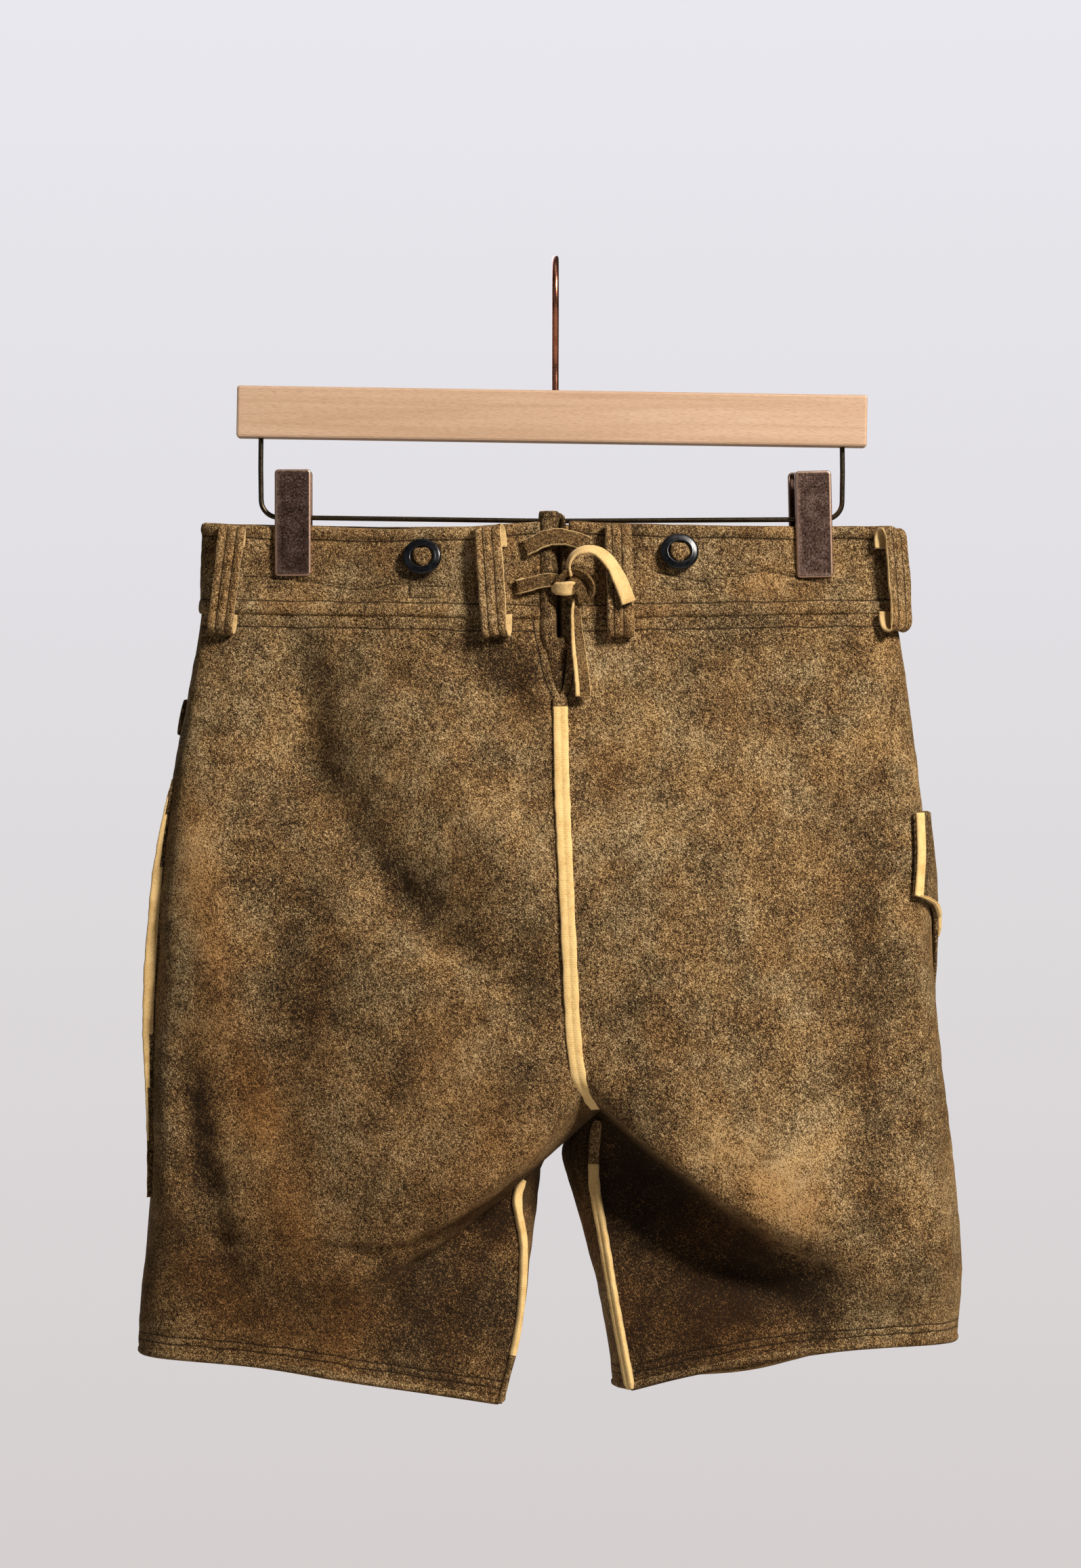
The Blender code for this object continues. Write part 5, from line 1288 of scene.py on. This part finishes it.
def makeFlap():
    lift = shape["bandProud"] + flap["proud"]
    tall, wide = flap["top"] - flap["foot"], flap["wide"]
    coarse, faces = [], []
    for z in np.linspace(flap["top"], flap["foot"], 9):
        reach = flap["reach"] - flap["taper"] * (flap["top"] - z) / tall
        line, outs = [], []
        for share in (-1, -0.75, -0.5, -0.25, -0.04, 0.04, 0.25, 0.5, 0.75, 1):
            place, out = spot(left if share < 0 else right, share * reach, z, front=True)
            line.append(place)
            outs.append(out)
        coarse.append(line)
        faces.append(outs)
    rows, cols = np.linspace(0, 8, 90), np.linspace(0, 9, 80)
    base = smoothGrid(np.array(coarse), rows, cols)
    out = unit(smoothGrid(np.array(faces), rows, cols))
    noise = 0.3 * gentleNoise(base, 30, 95)[..., None]
    down, across = np.minimum(rows, 8 - rows) / 8 * tall, np.minimum(cols, 9 - cols) / 9 * wide
    edge = np.minimum(down[:, None], across[None, :])
    values = {"fromStep": np.full(edge.shape, farAway), "fromHem": np.full(edge.shape, farAway),
              "fromVent": edge, "tone": 0.04 * gentleNoise(base, 40, 96), "rub": np.full(edge.shape, 0.15)}
    outer = base + out * (lift + shape["leather"]) + out * noise
    piece = makeShell("drop_front", outer, base + out * lift, [panelSuede, inside], values,
                      ["front_flap"])
    cloths.append((piece, "flap"))


makePocket()
makeTab()
makeFlap()
print("pocket, tab and drop front made")


# the knot: one turn of the strap over the other, its flesh side showing in a lobe
knot = {"middle": (11.4, -26, -187.5), "half": (8.8, 3.4, 8.6),
        "wrap": [(0.6, -26, -188), (2.4, -28.2, -183.6), (6.6, -29.8, -179.6), (12, -30.6, -178.9),
                 (17, -30.6, -181.6), (20.2, -30.2, -186.4), (19.8, -29, -191.4), (16.6, -27.2, -195.4)],
        "lobe": [(-1.6, -25.4, -188.2), (1.2, -28.6, -188.4), (4.8, -30.2, -188.6), (8.6, -30, -188.2),
                 (11.6, -28.4, -187.4)],
        "strand": [(11.4, -29.4, -184.6), (13, -31.4, -187.6), (15, -31.2, -191.4), (16.2, -28.6, -196)]}


def tieKnot():
    core, middle = [], np.array(knot["middle"])
    halfX, halfY, halfZ = knot["half"]
    for level in np.linspace(-0.97, 0.97, 14):
        size = (1 - level**2) ** 0.5
        core += [middle + (halfX * size * cos(a), halfY * size * sin(a), halfZ * level)
                 for a in (2 * pi * n / 24 for n in range(24))]
    makePiece("knot_core", core, ringFaces(14, 24), [thongSuede], None,
              plain(core, -0.12), ["lace_knot"])
    wrap = np.array(knot["wrap"])
    layStrap("knot_wrap", wrap, unit(wrap - middle) + np.array([0, -0.4, 0]), 4.8, 1.6, thongSuede, cutEdge,
             seed=8, lastFace=13)
    layStrap("knot_lobe", knot["lobe"], [(0.1, -0.3, 1)] * 5, 8.6, 2.2, fleshSide, fleshSide,
             taper=((0, 0.2, 0.6, 0.85, 1), (0.35, 0.75, 1.0, 0.95, 0.7)), seed=9)
    layStrap("knot_strand", knot["strand"], [(1, -0.1, 0.4)] * 4, 5.4, 1.7, thongSuede, fleshSide,
             seed=10, lastFace=13)


tieKnot()
print("knot tied")

# the hanger: wooden bar, wire hook and frame, two sheet metal clips
hanger = {"bar": {"tall": 29.5, "x": -1.95, "z": -88.6, "tilt": 0.89},
          "hookWire": 3.8, "hookRadius": 22.4, "frameWire": 2.9, "left": -168.4, "right": 164.1,
          "zLeft": -146.1, "zRight": -147.3, "bend": 10, "deep": 9.0}
clips = {"left": {"x": -149.8, "z": -149.6, "lean": 0.0, "shift": 0.0, "wire": -146.1},
         "right": {"x": 147.6, "z": -150.5, "lean": 1.3, "shift": -3.2, "wire": -147.3}}
clipPlate = {"wide": 20.8, "tall": 61, "thick": 1.3, "mouth": 6.6, "corner": 2.2}


def makeWire(name, route, diameter, material, replaced, readings):
    line = smoothLine(route, np.linspace(0, len(route) - 1, readings))
    curve = bpy.data.curves.new(name, "CURVE")
    curve.dimensions = "3D"
    curve.bevel_depth = diameter / 2 * mm
    curve.bevel_resolution = 6
    curve.use_fill_caps = True
    spline = curve.splines.new("POLY")
    spline.points.add(len(line) - 1)
    for point, place in zip(spline.points, line):
        point.co = (*(float(value) * mm for value in place), 1.0)
    spline.use_smooth = True
    curve.materials.append(material)
    wire = bpy.data.objects.new(name, curve)
    bpy.context.scene.collection.objects.link(wire)
    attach(wire, "root")
    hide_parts(replaced)


def barHeight(x):
    return hanger["bar"]["z"] - (x - hanger["bar"]["x"]) * sin(radians(hanger["bar"]["tilt"]))


def makeHanger():
    radius, half = hanger["hookRadius"], hanger["bar"]["tall"] / 2
    crown = hanger["hookWire"] / 2 - radius
    arc = [(0.0, -radius * cos(radians(turn)), crown + radius * sin(radians(turn)))
           for turn in range(-20, 211, 23)]
    foot = barHeight(0) + half - hanger["deep"] + 1
    route = [(0, 0, foot), (0, 0, -70), (0, -0.2, -60), (0, -4.5, -50), (0, -13, -40)] + arc
    makeWire("hook_wire", route, hanger["hookWire"], wireCopper, "hanger_hook", 110)
    bends = []
    for x, z, start in ((hanger["left"], hanger["zLeft"], 180), (hanger["right"], hanger["zRight"], 270)):
        inward = 1 if x < 0 else -1
        bend = hanger["bend"]
        for turn in np.radians(start + np.linspace(0, 90, 5)):
            bends.append((x + inward * bend + bend * cos(turn), 0, z + bend + bend * sin(turn)))
    tops = [barHeight(x) - half + hanger["deep"] - 1 for x in (hanger["left"], hanger["right"])]
    route = [(hanger["left"], 0, tops[0])] + bends + [(hanger["right"], 0, tops[1])]
    where = np.concatenate([[0, 0.5], np.linspace(1, 5, 17), [5.5], np.linspace(6, 10, 17), [10.5, 11]])
    makeWire("frame_wire", smoothLine(route, where), hanger["frameWire"], wireBronze,
             "hanger_frame", len(where))
    for node, material in (("hanger_bar", beech), ("clip_left_spring", wireBronze),
                           ("clip_right_spring", wireBronze)):
        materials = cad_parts[node].data.materials
        materials.clear()
        materials.append(material)
    for side in ("left", "right"):
        makeClip(side, clips[side])


def plateOutline(inset):
    # a rectangle with rounded corners, drawn in from the plate's edge
    wide, tall = clipPlate["wide"] / 2, clipPlate["tall"] / 2
    radius = max(clipPlate["corner"] - inset, 0.3)
    ring = []
    for cx, cz, start in ((1, 1, 0), (-1, 1, 90), (-1, -1, 180), (1, -1, 270)):
        for turn in np.radians(start + np.linspace(0, 90, 7)):
            ring.append((cx * (wide - inset - radius) + radius * cos(turn),
                         cz * (tall - inset - radius) + radius * sin(turn)))
    return ring


def makeClip(side, sizes):
    lean = radians(sizes["lean"])
    rubbedFrom = clipPlate["wide"] / 2 - 2.2
    for jaw, facing, shift in (("front", -1, 0), ("rear", 1, sizes["shift"])):
        points, worn = [], []
        near, far = clipPlate["mouth"] * facing, (clipPlate["mouth"] + clipPlate["thick"]) * facing
        # in from the plate's edge, depth, and how far the plating is worn bright
        layers = [(3.0, near, 0), (1.6, near, 0), (1.2, near - 3.2 * facing, 0.3),
                  (0.3, near - 3.4 * facing, 0.6), (0.0, near - 2.8 * facing, 0.5),
                  (0.0, far - 0.9 * facing, 0.5), (0.35, far - 0.25 * facing, 1.0), (1.0, far, 0.75),
                  (1.7, far - 0.12 * facing, 0.1), (4.0, far - 0.1 * facing, 0.0)]
        for inset, y, bright in layers:
            for x, z in plateOutline(inset):
                points.append((sizes["x"] + shift + x * cos(lean) - z * sin(lean), y,
                               sizes["z"] + x * sin(lean) + z * cos(lean)))
                worn.append(bright if abs(x) > rubbedFrom else bright * 0.35)
        makePiece(f"clip_{side}_{jaw}_plate", points, ringFaces(len(layers), 28), [antiqueCopper],
                  None, {"worn": worn}, [f"clip_{side}_{jaw}_jaw"])


makeHanger()
print("hanger made")
